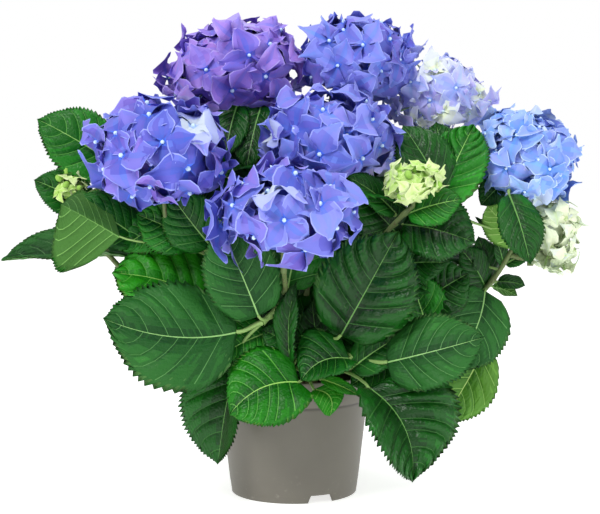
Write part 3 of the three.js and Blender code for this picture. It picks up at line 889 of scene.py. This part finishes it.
# How each family's sepals are cut: how broad, how drawn out at the tip, how far they curl and how wavy.
CUTS = {"violet": (1.06, 0.3, 1.05, 1.2), "purple": (1.04, 0.3, 1.05, 1.3), "pale": (0.94, 0.12, 1.1, 1.2),
        "sky": (1.02, 0.05, 0.9, 1.0), "cream": (0.66, 0.45, 1.1, 0.9), "green": (0.78, 0.4, 0.6, 0.6)}

# Each head's family, how wide its florets are, their spacing, how far down its sides they reach, how
# warm most of them are, and the way in which its palest florets lie.
HEAD_KINDS = {
    "front": ("violet", 70, 50, -0.66, 0.45, (-0.3, -0.6, 0.75)),
    "left": ("violet", 66, 47, -0.8, 0.6, (0.4, -0.7, 0.6)),
    "centre": ("violet", 66, 47, -0.66, 0.45, (-0.8, -0.6, -0.1)),
    "top": ("violet", 58, 43, -0.7, 0.45, None),
    "purple": ("purple", 58, 43, -0.92, 0.4, None), "pale": ("pale", 48, 34, -0.85, 0.5, None),
    "blue": ("sky", 48, 33, -0.95, 0.3, (0, -0.95, 0.3)), "cream": ("cream", 50, 33, -0.95, 0.5, None),
    "green": ("green", 34, 18, -0.8, 0.5, None), "bud_left": ("green", 25, 13, -0.9, 0.5, None),
    "back_left": ("violet", 58, 43, -0.66, 0.5, None), "back": ("sky", 50, 37, -0.66, 0.4, None),
    "back_right": ("pale", 50, 37, -0.66, 0.5, None),
}

# How much lighter or deeper than its family a head is.
LIFTS = {"left": -18, "front": -2, "centre": 12, "top": 12, "purple": 3, "pale": -1}

# Where a head is flatter or fuller than an even dome: the way that side faces, and how far it sinks.
DENTS = {
    "purple": (((-0.65, -0.2, 0.7), 0.32), ((0.3, 0, 0.95), 0.04), ((0.2, -0.3, -0.9), -0.3),
               ((0.95, 0, 0.3), -0.2), ((-0.95, 0, 0.3), 0.1), ((-0.8, -0.2, -0.6), -0.14)),
    "top": (((-0.8, 0, 0.6), 0.22), ((-0.1, 0, 1), 0.08), ((0.9, 0, 0.4), 0.1)),
    "left": (((0.9, 0, 0.2), 0.1),), "cream": (((-0.1, -0.3, -0.95), -0.22),),
    "pale": (((0.8, 0, 0.5), 0.42), ((0.4, -0.2, 0.9), 0.24), ((-0.6, -0.3, 0.75), -0.36),
             ((-0.8, -0.3, -0.5), -0.2)),
    "blue": (((0.6, 0, 0.8), 0.4), ((1, 0, 0.1), 0.1), ((-0.8, -0.2, -0.6), -0.12)),
}

SEPAL_ROWS = np.array([0.03, 0.12, 0.25, 0.39, 0.53, 0.66, 0.78, 0.88, 0.96, 1.0])
SEPAL_HALVES = np.array([0.08, 0.34, 0.68, 0.92, 1.0, 0.9, 0.62, 0.34, 0.2, 0.05])
SEPAL_COLUMNS = np.array([-1, -0.92, -0.6, -0.2, 0.2, 0.6, 0.92, 1])

# Which way a sepal hooks, and how far its tip rolls back or lifts.
HOOKS = (-0.13, -0.07, 0.07, 0.13)
DROOPS = (-0.4, -0.3, -0.2, -0.12, 0.14)

# Where the bleaching of a sepal starts and how it goes up in steps, and the bleach that pales a throat.
BLEACH_FROM, BLEACH_STEP, THROAT_PALES = 0.22, 0.26, 0.25

# A floret's eye and a bud alike are beads: rings of width and height, then each one's radius, height
# and foot, as shares of the floret's width.
BEAD_RINGS = ((0.9, 0.0), (1.0, 0.45), (0.62, 0.85))
BEAD_SIDES = 7
EYE_BEAD = (0.036, 0.06, 0.0)
BUD_BEAD = (0.14, 0.26, -0.05)


def shade(warmth, light):
    """The slot of a shade from how warm and how light it is, each from 0 to 1."""
    return step_of(light, LIGHTS) * WARMTHS + step_of(warmth, WARMTHS)


def sepal_tint(t, s, phase):
    """How far along each face of a sepal lies, how warm and light it is, and whether it is on the edge."""
    t, s = (t[:-1, :-1] + t[1:, 1:]) / 2, (s[:-1, :-1] + s[1:, 1:]) / 2
    lobe = np.exp(-((np.abs(s) - 0.55) / 0.35) ** 2) * np.sin(np.pi * t ** 1.1)
    drift = np.sin(4 * t + 2.2 * s + phase[0]) + np.sin(5 * s - 3 * t + phase[1])
    warmth = 0.28 * lobe - 0.3 * np.exp(-(s / 0.3) ** 2) * (1 - t) + 0.08 * drift
    light = 0.3 * (t - 0.5) + 0.14 * (np.abs(s) - 0.5) + 0.04 * np.cos(3 * np.pi * s)
    light += 0.08 * np.sin(6 * t + phase[2])
    return t, warmth, light, ((np.abs(s) > 0.94) & (t > 0.2)) | (t > 0.97)


def sepal(rng, turn, cut, broad, cup, tilt):
    """One sepal of a floret one unit wide: its points, its faces, how each face is tinted, and its map."""
    width, drawn, curl, wavy = cut
    t, s = np.meshgrid(SEPAL_ROWS, SEPAL_COLUMNS, indexing="ij")
    late = np.clip((t - 0.5) / 0.5, 0, 1)
    half = width * broad * 0.25 * SEPAL_HALVES[:, None] * (1 - drawn * late)
    phase = rng.uniform(0, 2 * np.pi, 4)
    hook = rng.choice(HOOKS)
    droop = curl * rng.choice(DROOPS)
    # Along the sepal, across it and up from the floret's face.
    x = 0.49 * t + 0.11 * t ** 4 - 0.06 * late ** 2 * abs(droop) / 0.3
    x += 0.014 * np.sin(3 * s + phase[0]) * t
    y = s * half + hook * late ** 2 + 0.012 * np.sin(7 * t + phase[1]) * t
    z = cup * 0.5 * t ** 1.7 + tilt * y
    # A valley from the throat, margins that wave, and a tip that rolls back or lifts.
    z += 0.34 * half * np.abs(s) * (1 - t) ** 0.7 - 0.3 * half * s ** 2 * late
    side = np.where(s < 0, phase[2], phase[3])
    z += 0.078 * wavy * np.abs(s) ** 1.6 * np.sin(2 * np.pi * 1.35 * t + side) * np.sin(np.pi * t ** 0.8)
    z += 0.016 * np.cos(3 * np.pi * s) * np.sin(np.pi * t) + droop * late ** 2 * 0.5
    ahead, aside = math.cos(turn), math.sin(turn)
    points = np.stack([x * ahead - y * aside, x * aside + y * ahead, z], -1)
    places = np.stack([s * 0.5 + 0.5, t], -1)
    rows, wide = t.shape
    ids = np.arange(rows * wide).reshape(rows, wide)
    ids[-1, :] = ids[-1, wide // 2]
    return points.reshape(-1, 3), grid_quads(ids), sepal_tint(t, s, phase), places.reshape(-1, 2)


def sepal_paints(tint, mood):
    """Deals a family's shades out over a sepal. Its mood shifts them, and bleaches it from the throat."""
    t, warmth, light, edge = tint
    _, warm, pale, bleach = mood
    paints = shade(warmth + warm, light + pale)
    white = bleach * np.clip(1.25 - t * 1.15, 0, 1)
    for step in range(BLEACHES):
        paints[white > BLEACH_FROM + BLEACH_STEP * step] = WARMTHS * LIGHTS + step
    paints[:1] = PALE_THROAT if bleach > THROAT_PALES else THROAT
    paints[edge] = RIM
    return paints.ravel()


def bead(radius, tall, base):
    """A small round bead on the middle of a floret, or a bud by itself."""
    rings = [(radius * share, base + tall * up) for share, up in BEAD_RINGS]
    points, quads = lathe(rings, around(BEAD_SIDES), base + tall)
    return points, quads, points[:, :2] + MAP_MIDDLE


def floret_parts(rng, sepals, cup, cut):
    """A floret's sepals, which lap over each other the same way round."""
    start = rng.uniform(0, 2 * np.pi)
    lean = rng.choice((-1, 1))
    parts = []
    for k in range(sepals):
        turn = start + 2 * np.pi * (k + rng.uniform(-0.08, 0.08)) / sepals
        parts.append(sepal(rng, turn, cut, rng.uniform(0.9, 1.08) * 4.3 / (sepals + 0.3),
                           cup + rng.uniform(-0.2, 0.14), lean * rng.uniform(0.12, 0.26)))
    return parts


def floret_piece(name, parts, mood, finishes):
    sheaf = Sheaf()
    for points, quads, tint, places in parts:
        sheaf.add(points, quads, sepal_paints(tint, mood), places)
    points, quads, places = bead(*(EYE_BEAD if parts else BUD_BEAD))
    sheaf.add(points, quads, np.full(len(quads), EYE), places)
    return sheaf.piece(name, finishes)


def family_finishes(family):
    """One finish for each shade of a family, in the order that shade() counts them."""
    cool, warm, cool_pale, warm_pale, cream, *rest = FAMILIES[family]
    colours = []
    for light in np.linspace(0, 1, LIGHTS):
        ends = mixed(cool, cool_pale, light), mixed(warm, warm_pale, light)
        colours += [mixed(*ends, warmth) for warmth in np.linspace(0, 1, WARMTHS)]
    middle = mixed(cool_pale, warm_pale, 0.5)
    colours += [mixed(middle, cream, (step + 1) / BLEACHES) for step in range(BLEACHES)]
    return [petal_finish(f"{family}_shade_{k}", paint(*colour)) for k, colour in enumerate(colours + rest)]


# How florets are dealt out over a head: packed in hexagons, a golden turn from each to the next, how
# deep they sit for their width, in two layers that far apart, how many of them are still in bud in each
# family and more in the inner layer, and how close to its middle a patch of pale ones keeps.
PACKING = 0.866
GOLDEN_TURN = math.pi * (3 - math.sqrt(5))
SEAT, LAYER_APART = 0.17, 0.25
LAYERS = (0, 1)
BUDDING = {"green": 0.35, "cream": 0.12}
LAYER_BUDDING = 0.4
PALE_PATCH = 0.95

# How much of a family's warmth a head takes in, how much fewer florets the inner layer has, how far they
# stray, how deep inside a head they may sit, and their depths in millimetres, facing and sizes.
WARMTH_SPREAD, INNER_FEWER = 0.35, 0.5
WAY_STRAYS, FACING_STRAYS, FACING_RISES = 0.07, 0.3, (0, 0, 0.06)
DEEPEST = 0.3
DEPTHS = (-4, 5)
SIZES = (0.88, 1.1)

# How many sepals each shape of floret has, and how far they rise.
SHAPES = ((4, -0.24), (4, -0.1), (4, -0.4), (5, -0.2), (4, 0.1), (4, -0.3), (4, 0.0))
BUD = len(SHAPES)


def floret_collection(family, rng):
    """A hidden set of florets to deal out: each shape in each mood of the family, and a bud."""
    shapes = [floret_parts(rng, sepals, cup, CUTS[family]) for sepals, cup in SHAPES] + [[]]
    finishes = family_finishes(family)
    group = bpy.data.collections.new(family + "_florets")
    for number, mood in enumerate(MOODS[family]):
        for k, parts in enumerate(shapes):
            piece = floret_piece(f"{family}_{number}_{k}", parts, mood, finishes)
            bpy.context.scene.collection.objects.unlink(piece)
            group.objects.link(piece)
    return group, finishes[EYE]


def floret_places(head, family, rng):
    """Where the florets of a head sit, which way each looks, how wide it is and which one it is."""
    _, width, spacing, lowest, warm, pale_way = HEAD_KINDS[head]
    low, high = box_of("flower_head_" + head)
    centre, radius = (low + high) / 2, (high - low) / 2
    mean = radius.prod() ** (1 / 3) / MM
    lift = LIFTS.get(head, 0)
    shares = np.array([share * math.exp(lift * light - ((warmth - warm) / WARMTH_SPREAD) ** 2)
                       for share, warmth, light, _ in MOODS[family]])
    rows = []
    for layer in LAYERS:
        count = int(4 * math.pi * mean ** 2 / (PACKING * spacing ** 2) * (1 - INNER_FEWER * layer))
        k = np.arange(count) + 0.5
        z = 1 - 2 * k / count
        turn = k * GOLDEN_TURN + rng.uniform(0, 6)
        way = np.stack([np.cos(turn) * np.sqrt(1 - z ** 2), np.sin(turn) * np.sqrt(1 - z ** 2), z], 1)
        way += rng.normal(0, WAY_STRAYS, way.shape)
        way /= np.linalg.norm(way, axis=1)[:, None]
        way = way[way[:, 2] > lowest]
        shell = np.maximum(radius - (SEAT + LAYER_APART * layer) * width * MM, DEEPEST * radius)
        for side, depth in DENTS.get(head, ()):
            shell = shell * (1 - depth * np.clip(way @ unit(np.array(side)), 0, 1) ** 3)[:, None]
        spots = centre + way * shell - way * rng.uniform(*DEPTHS, len(way))[:, None] * MM
        normal = way / radius
        normal /= np.linalg.norm(normal, axis=1)[:, None]
        normal += rng.normal(0, FACING_STRAYS, normal.shape) + FACING_RISES
        sizes = rng.uniform(*SIZES, len(way)) * width * MM
        tone = rng.choice(len(shares), len(way), p=shares / shares.sum())
        if pale_way is not None:
            tone[way @ unit(np.array(pale_way)) > PALE_PATCH] = len(shares) - 1
        shape = rng.integers(0, BUD, len(way))
        if family in BUDDING:
            shape[rng.uniform(0, 1, len(way)) < BUDDING[family] + LAYER_BUDDING * layer] = BUD
        rows += list(zip(spots, normal, sizes, tone, shape))
    return rows


def new_tree(name, kinds):
    """An empty tree, the node that gives its inputs, and the identifier of each of its sockets."""
    tree = bpy.data.node_groups.new(name, "GeometryNodeTree")
    sockets = {}
    for label, kind in kinds.items():
        socket = tree.interface.new_socket(label, in_out="INPUT", socket_type="NodeSocket" + kind)
        sockets[label] = socket.identifier
    tree.interface.new_socket("Geometry", in_out="OUTPUT", socket_type="NodeSocketGeometry")
    graph = Graph(tree)
    return graph, graph.add("NodeGroupInput"), sockets


def finish_tree(graph, shape, finish, sockets=None):
    """Makes a tree's instances real, sets their material and hands them out."""
    joined = graph.add("GeometryNodeRealizeInstances", {}, {"Geometry": shape})
    done = graph.add("GeometryNodeSetMaterial", {},
                     {"Geometry": joined, "Material": finish, **(sockets or {})})
    graph.add("NodeGroupOutput", {}, {0: done})


def named(graph, kind, name):
    return graph.add("GeometryNodeInputNamedAttribute", {"data_type": kind}, {"Name": name})


def bloom_tree():
    """Florets dealt out on points: each turned to face its own way, then spun at random."""
    graph, given, sockets = new_tree("bloom", {"Points": "Geometry", "Florets": "Collection", "Seed": "Int",
                                               "Eye": "Material"})
    turned = graph.add("FunctionNodeAlignRotationToVector", {"axis": "Z"},
                       {"Vector": named(graph, "FLOAT_VECTOR", "facing")})
    angle = graph.add("FunctionNodeRandomValue", {"data_type": "FLOAT"},
                      {2: 0.0, 3: 2 * math.pi, "Seed": given.out("Seed")}, 1)
    spin = graph.add("ShaderNodeCombineXYZ", {}, {"Z": angle})
    spin = graph.add("FunctionNodeEulerToRotation", {}, {0: spin})
    turned = graph.add("FunctionNodeRotateRotation", {"rotation_space": "LOCAL"},
                       {"Rotation": turned, "Rotate By": spin})
    florets = graph.add("GeometryNodeCollectionInfo", {}, {
        "Collection": given.out("Florets"), "Separate Children": True, "Reset Children": True})
    dealt = graph.add("GeometryNodeInstanceOnPoints", {}, {
        "Points": given.out("Points"), "Instance": florets, "Pick Instance": True,
        "Instance Index": named(graph, "INT", "kind"), "Rotation": turned,
        "Scale": named(graph, "FLOAT", "size")})
    eyes = graph.add("GeometryNodeMaterialSelection", {}, {"Material": given.out("Eye")})
    finish_tree(graph, dealt, given.out("Eye"), {"Selection": eyes})
    return graph.tree, sockets


def run_tree(name, mesh, tree, values):
    """Runs a tree on a mesh and returns what it makes as a plain piece."""
    nodes, sockets = tree
    carrier = place_piece(name + "_carrier", mesh)
    modifier = carrier.modifiers.new("grow", "NODES")
    modifier.node_group = nodes
    for label, value in values.items():
        modifier[sockets[label]] = value
    bpy.context.view_layer.update()
    grown = carrier.evaluated_get(bpy.context.evaluated_depsgraph_get())
    result = bpy.data.meshes.new_from_object(grown)
    result.name = name
    carrier.modifiers.remove(modifier)
    bpy.data.objects.remove(carrier)
    bpy.data.meshes.remove(mesh)
    return place_piece(name, result)


# Where the floret stalks of a head gather, as a share of its height, how they run from there to the
# backs of the florets, and how far a cane goes past that place.
HEART = 0.42
PEDICEL_FOOT = (0.2, 0.2, 0.05)
PEDICEL_SEAT, PEDICEL_LEAVES, PEDICEL_ENTERS = 0.03, 0.4, 0.3
CANE_PAST = 3 * MM
PEDICEL_STEPS = 5
PEDICEL_GIRTHS = np.linspace(1.1, 0.7, PEDICEL_STEPS) * MM

pedicels = []
cane_ends = {}


def bloom(name, family, heads, rng, seed):
    """All the florets of the heads that share a family, as one piece."""
    group, eye = floret_collection(family, rng)
    rows = []
    for head in heads:
        placed = floret_places(head, family, rng)
        rows += placed
        low, high = box_of("flower_head_" + head)
        heart = np.append(((low + high) / 2)[:2], low[2] + HEART * (high[2] - low[2]))
        for spot, normal, size, _, _ in placed:
            start = heart + (spot - heart) * PEDICEL_FOOT
            back = spot - unit(normal) * PEDICEL_SEAT * size
            bends = start + (back - start) * PEDICEL_LEAVES, back - unit(normal) * PEDICEL_ENTERS * size
            pedicels.append((bezier((start, *bends, back), PEDICEL_STEPS), PEDICEL_GIRTHS))
        cane_ends[head] = heart + (0, 0, CANE_PAST)
    spots, normals, sizes, tones, shapes = zip(*rows)
    mesh = point_mesh(name + "_points", spots)
    attribute(mesh, "facing", "FLOAT_VECTOR", [unit(normal) for normal in normals])
    attribute(mesh, "size", "FLOAT", sizes)
    attribute(mesh, "kind", "INT", [tone * (BUD + 1) + shape for tone, shape in zip(tones, shapes)])
    piece = run_tree(name, mesh, bloom_nodes, {"Florets": group, "Seed": seed, "Eye": eye})
    for old in list(group.objects):
        bpy.data.objects.remove(old)
    return piece


# ---- stalks and canes -----------------------------------------------------------------------

def stalk_tree():
    """Tubes along paths, as thick as each point says, with a relief pushed along their normals."""
    graph, given, sockets = new_tree("stalk", {"Paths": "Geometry", "Sides": "Int", "Relief": "Float",
                                               "Relief Scale": "Float", "Finish": "Material"})
    curve = graph.add("GeometryNodeMeshToCurve", {}, {"Mesh": given.out("Paths")})
    ring = graph.add("GeometryNodeCurvePrimitiveCircle", {},
                     {"Resolution": given.out("Sides"), "Radius": 1.0})
    tube = graph.add("GeometryNodeCurveToMesh", {}, {
        "Curve": curve, "Profile Curve": ring, "Scale": named(graph, "FLOAT", "girth"), "Fill Caps": True})
    noise = graph.noise({"Scale": given.out("Relief Scale"), "Detail": 3.0})
    push = (noise - 0.5) * given.out("Relief")
    away = graph.add("ShaderNodeVectorMath", {"operation": "SCALE"},
                     {0: graph.add("GeometryNodeInputNormal"), "Scale": push})
    moved = graph.add("GeometryNodeSetPosition", {}, {"Geometry": tube, "Offset": away})
    smooth = graph.add("GeometryNodeSetShadeSmooth", {}, {"Geometry": moved})
    finish_tree(graph, smooth, given.out("Finish"))
    return graph.tree, sockets


def tubes(name, paths, sides, relief, relief_scale, finish):
    """One piece made of every path in the list, each with its girth at each point."""
    mesh = point_mesh(name + "_paths", np.concatenate([path for path, _ in paths]))
    edges, at = [], 0
    for path, _ in paths:
        ids = np.arange(at, at + len(path))
        edges.append(np.stack([ids[:-1], ids[1:]], 1))
        at += len(path)
    edges = np.concatenate(edges)
    mesh.edges.add(len(edges))
    mesh.edges.foreach_set("vertices", edges.astype(np.int32).ravel())
    attribute(mesh, "girth", "FLOAT", np.concatenate([girth for _, girth in paths]))
    return run_tree(name, mesh, stalk_nodes, {
        "Sides": sides, "Relief": relief, "Relief Scale": relief_scale, "Finish": finish})


# Canes, in millimetres: how thick at the foot, how much thinner at the end, and their swollen nodes.
CANE_GIRTH, CANE_THINS = 3.5, 1.1
NODE_FIRST, NODE_APART, NODE_SWELLS, NODE_LONG = 30, 46, 0.9, 4.5
PATH_STEPS = 90
STOOL_STEPS = 14


def cane_paths(rng):
    """Each cane from inside the stool to its flower head, swollen at its nodes."""
    paths = []
    for head in HEADS:
        line = CANES[head]
        share = np.linspace(0, 1, PATH_STEPS)
        spots = np.stack([on_cane(head, s) for s in share])
        spots[-1] = cane_ends[head]
        girth = (CANE_GIRTH - CANE_THINS * share) * MM
        length = np.linalg.norm(line[-1] - line[0]) / MM
        for node in np.arange(NODE_FIRST, length, NODE_APART) / length + rng.uniform(-0.02, 0.02):
            girth += NODE_SWELLS * MM * np.exp(-((share - node) * length / NODE_LONG) ** 2)
        spots[0] -= (0, 0, 5 * MM)
        paths.append((spots, girth))
    return paths


def stool_path():
    """The stool: a knuckle of old wood that the canes rise from."""
    low, high = box_of("stem_base")
    middle, reach = (low + high) / 2, (high - low)[:2].mean() / 2
    share = np.linspace(0, 1, STOOL_STEPS)
    path = np.full((STOOL_STEPS, 3), middle)
    path[:, 2] = low[2] + (high[2] - low[2]) * share
    rounded = np.array([0.9] + [0.97] * (STOOL_STEPS - 2) + [0.86])
    return path, reach * (1.0 - 0.12 * share) * rounded


# ---- pot and compost ------------------------------------------------------------------------

# The pot in millimetres: its foot, its wall up to the rim band, the band, the lip, and the floor with
# the hub and web that its rings mark.
POT_SIDES = 144
POT_FOOT, POT_WAIST, POT_WALL = 67.5, 79.6, 2.4
BAND_HEIGHT, BAND_RADIUS = 104, 82.2
SHOULDER, LIP_START = 118, 82
FLOOR_TOP, FLOOR_UNDER = 12, 9
HUB, WEB = 6, 30

# Drain notches in the foot ring.
NOTCHES = 3
NOTCH_FIRST = math.radians(-64.6)
NOTCH_HALF = math.radians(11.2)
NOTCH_EASE = math.radians(1.2)
NOTCH_HEIGHT = 8

# The compost in millimetres: the depth of its disc, and the height of its lumps.
COMPOST_DEPTH, COMPOST_LUMP, COMPOST_SINKS = 14, 1.8, 1.5
COMPOST_RINGS, COMPOST_SIDES = 22, 72


def box_in_mm(node):
    low, high = box_of(node)
    return low / MM, high / MM


def pot_wall(z):
    """The outside of the tapered wall, under the rim."""
    return POT_FOOT + (POT_WAIST - POT_FOOT) * (z / BAND_HEIGHT) ** 0.9


def pot_piece():
    """A lathe form: underside, foot ring with notches, tapered wall, banded rim, inner wall and floor."""
    low, high = box_in_mm("pot")
    top, height = (high[0] - low[0]) / 2, high[2]
    turn = around(POT_SIDES) + NOTCH_FIRST
    sector = 2 * np.pi / NOTCHES
    apart = np.abs((turn - NOTCH_FIRST + sector / 2) % sector - sector / 2)
    raised = NOTCH_HEIGHT * np.clip((NOTCH_HALF - apart) / NOTCH_EASE, 0, 1)
    inner, lip, bore = POT_FOOT - POT_WALL, top - LIP_START, top - POT_WALL
    corner = pot_wall(FLOOR_TOP) - POT_WALL
    underside = [(HUB, FLOOR_UNDER), (WEB, FLOOR_UNDER), (inner - 3, FLOOR_UNDER), (inner - 1, 8.6)]
    foot = [(inner, np.maximum(2, raised + 0.1)), (inner + 0.4, raised), (POT_FOOT - 0.6, raised)]
    foot += [(pot_wall(z), np.maximum(z, raised + z * 0.05)) for z in (0.6, 6)]
    wall = [(pot_wall(z), z) for z in (12, 20, 36, 52, 68, 84, 96, 102.6, 103.6)]
    rim = [(BAND_RADIUS - 0.6, 104.2), (BAND_RADIUS, 105), (BAND_RADIUS + lip * 0.5, SHOULDER),
           (BAND_RADIUS + lip * 0.85, 129), (top, height - 1.6), (top - 0.3, height - 0.5),
           (top - 1, height), (top - 1.9, height - 0.1), (bore, height - 0.9), (bore - 0.4, SHOULDER),
           (79.4, 105), (77.2, 102)]
    lining = [(pot_wall(z) - POT_WALL, z) for z in (84, 60, 36, 18)]
    bottom = [(corner - 1.5, FLOOR_TOP + 0.4), (corner - 4, FLOOR_TOP), (WEB, FLOOR_TOP), (HUB, FLOOR_TOP)]
    return lathe_piece("plant_pot", pot_finish(), underside + foot + wall + rim + lining + bottom, turn,
                       (FLOOR_TOP, FLOOR_UNDER), (low + high) / 2)


def compost_piece(rng):
    """A lumpy disc of compost, closed underneath."""
    low, high = box_in_mm("compost")
    radius, top = (high[0] - low[0]) / 2, high[2]
    lump = rng.normal(0, 1.0, (COMPOST_RINGS, COMPOST_SIDES))
    lump = (lump + np.roll(lump, 1, 1) + np.roll(lump, -1, 1)) / 3
    heights = lump * COMPOST_LUMP - COMPOST_SINKS
    heights[0] *= 0.3
    rings = [(radius - 1, top - COMPOST_DEPTH)]
    rings += list(zip(radius * np.linspace(1, 0.03, COMPOST_RINGS), top + heights))
    return lathe_piece("potting_compost", compost_finish(), rings, around(COMPOST_SIDES),
                       (top - 1, top - COMPOST_DEPTH), (low + high) / 2)


# ---- the studio -----------------------------------------------------------------------------

LENS, SENSOR = 120, 36
CAMERA_DISTANCE = 2.15
FLOOR_SIZE = 8.0
CAMERA_DROP = math.radians(6.5)
AIM = Vector((0.00654, 0.0, 0.25493))

# Each lamp's place, size, power and tint.
LAMPS = {"key": ((-0.9, -1.5, 1.7), 0.8, 32, (1.0, 0.99, 0.97)),
         "fill": ((1.5, -1.2, 0.9), 1.4, 10, (0.97, 0.99, 1.0)),
         "top": ((0.2, 0.5, 2.0), 1.2, 14, (1.0, 1.0, 1.0))}

# The world's light on the plant, and what the camera sees of it on top.
WORLD_LIGHT, WORLD_SEEN = 0.42, 0.58


def aim_at(thing, place, target):
    thing.location = place
    thing.rotation_euler = (target - place).to_track_quat("-Z", "Y").to_euler()


def add_camera():
    data = bpy.data.cameras.new("camera")
    data.lens = LENS
    data.sensor_width = SENSOR
    camera = place_piece("camera", data)
    back = Vector((0, -math.cos(CAMERA_DROP), math.sin(CAMERA_DROP))) * CAMERA_DISTANCE
    aim_at(camera, AIM + back, AIM)
    bpy.context.scene.camera = camera


def add_light(name, place, size, power, tint):
    data = bpy.data.lights.new(name, "AREA")
    data.shape = "DISK"
    data.size = size
    data.energy = power
    data.color = tint
    aim_at(place_piece(name, data), Vector(place), AIM)


def add_studio():
    world = bpy.data.worlds.new("studio")
    bpy.context.scene.world = world
    world.use_nodes = True
    graph = Graph(world.node_tree)
    background = world.node_tree.nodes["Background"]
    seen = graph.add("ShaderNodeLightPath").out("Is Camera Ray")
    graph.feed(background, {"Color": (1, 1, 1, 1), "Strength": seen * WORLD_SEEN + WORLD_LIGHT})
    for name, lamp in LAMPS.items():
        add_light(name, *lamp)
    bpy.ops.mesh.primitive_grid_add(x_subdivisions=8, y_subdivisions=8, size=FLOOR_SIZE)
    floor = bpy.context.object
    floor.name = "floor"
    paper = Finish("floor_paper", (0.9, 0.9, 0.9, 1), {
        "Specular IOR Level": 0.1, "Emission Color": (1, 1, 1, 1), "Emission Strength": 0.66})
    paper.feed(paper.shader, {"Roughness": paper.grain(60.0) * 0.1 + 0.8})
    floor.data.materials.append(paper.material)
    bpy.context.scene.view_settings.view_transform = "Standard"


# ---- the plant ------------------------------------------------------------------------------

def keep(piece, nodes):
    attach(piece, BODY)
    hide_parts(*nodes)


# The seed that each part of the plant is dealt out with, and the first family's spin.
SEEDS = {"front": 11, "back": 23, "inner": 37, "shade": 41, "flank": 47, "florets": 71, "canes": 5,
         "compost": 3}
FIRST_SPIN = 3


def dealer(part):
    return np.random.default_rng(SEEDS[part])


# How rough and how shiny each tone's blades are.
SHINES = {"deep": (0.36, 0.3), "matte": (0.54, 0.2)}
PLAIN_SHINE = (0.42, 0.26)
UNDER_SHINE = (0.6, 0.2)


def tone_finishes():
    """Every tone's finishes, in the order of its zones."""
    finishes = []
    for tone, (dark, light, *rest) in TONES.items():
        vein, midrib, under, under_vein = (paint(*colour) for colour in rest)
        for step in range(BLADES):
            colour = paint(*mixed(dark, light, step / (BLADES - 1)))
            finishes.append(blade_finish(f"{tone}_blade_{step}", colour, *SHINES.get(tone, PLAIN_SHINE)))
        finishes += [vein_finish(tone + "_vein", vein), vein_finish(tone + "_midrib", midrib),
                     blade_finish(tone + "_under", under, *UNDER_SHINE),
                     vein_finish(tone + "_under_vein", under_vein)]
    return finishes


add_camera()
add_studio()

grow_twig("front", inside("plant", (0.445, 0.273, 0.382)), 2.6 * MM)
grow_twig("blue", inside("plant", (0.785, 0.396, 0.578)), 1.3 * MM)
front_leaves(dealer("front"))
back_leaves(dealer("back"))
inner_leaves(dealer("inner"))
shade_leaves(dealer("shade"))
flank_leaves(dealer("flank"))

leaf_finishes = tone_finishes()
masses = sorted(name for name in frame["nodes"] if name.startswith("foliage_"))
behind = [name for name in masses if "_back_" in name]
front = [name for name in masses if name not in behind]
for name, nodes in (("leaves_front", front), ("leaves_back", behind), ("leaves_inner", front[:1])):
    keep(sheafs[name].piece(name, leaf_finishes), nodes)

bloom_nodes = bloom_tree()
bloom_rng = dealer("florets")
for seed, family in enumerate(FAMILIES, FIRST_SPIN):
    heads = [head for head in HEADS if HEAD_KINDS[head][0] == family]
    piece = bloom("florets_" + family, family, heads, bloom_rng, seed)
    keep(piece, ["flower_head_" + head for head in heads])

# Each piece made of tubes: its paths, their sides, relief, the relief's scale and finish, then what it is.
stalk_nodes = stalk_tree()
cane_bark = bark_finish("cane_bark", paint(104, 122, 74), paint(92, 78, 56), 300.0)
old_wood = bark_finish("old_wood", paint(122, 98, 68), paint(74, 58, 42), 160.0)
petiole_green = vein_finish("petiole_green", paint(140, 176, 100))
every_cane = ["cane_" + head for head in HEADS]
for name, paths, sides, relief, relief_scale, finish, slot, nodes in (
        ("canes", cane_paths(dealer("canes")), 12, 0.9 * MM, 320.0, cane_bark, "cane", every_cane),
        ("stool", [stool_path()], 40, 5 * MM, 130.0, old_wood, "wood", ["stem_base"]),
        ("leaf_stalks", stalks, 7, 0.2 * MM, 300.0, petiole_green, "cane", ["cane_front"]),
        ("floret_stalks", pedicels, 4, 0.0, 300.0, petiole_green, "cane", ["cane_front"])):
    keep(tubes(name, paths, sides, relief, relief_scale, finish), nodes)

keep(pot_piece(), ["pot"])
keep(compost_piece(dealer("compost")), ["compost"])
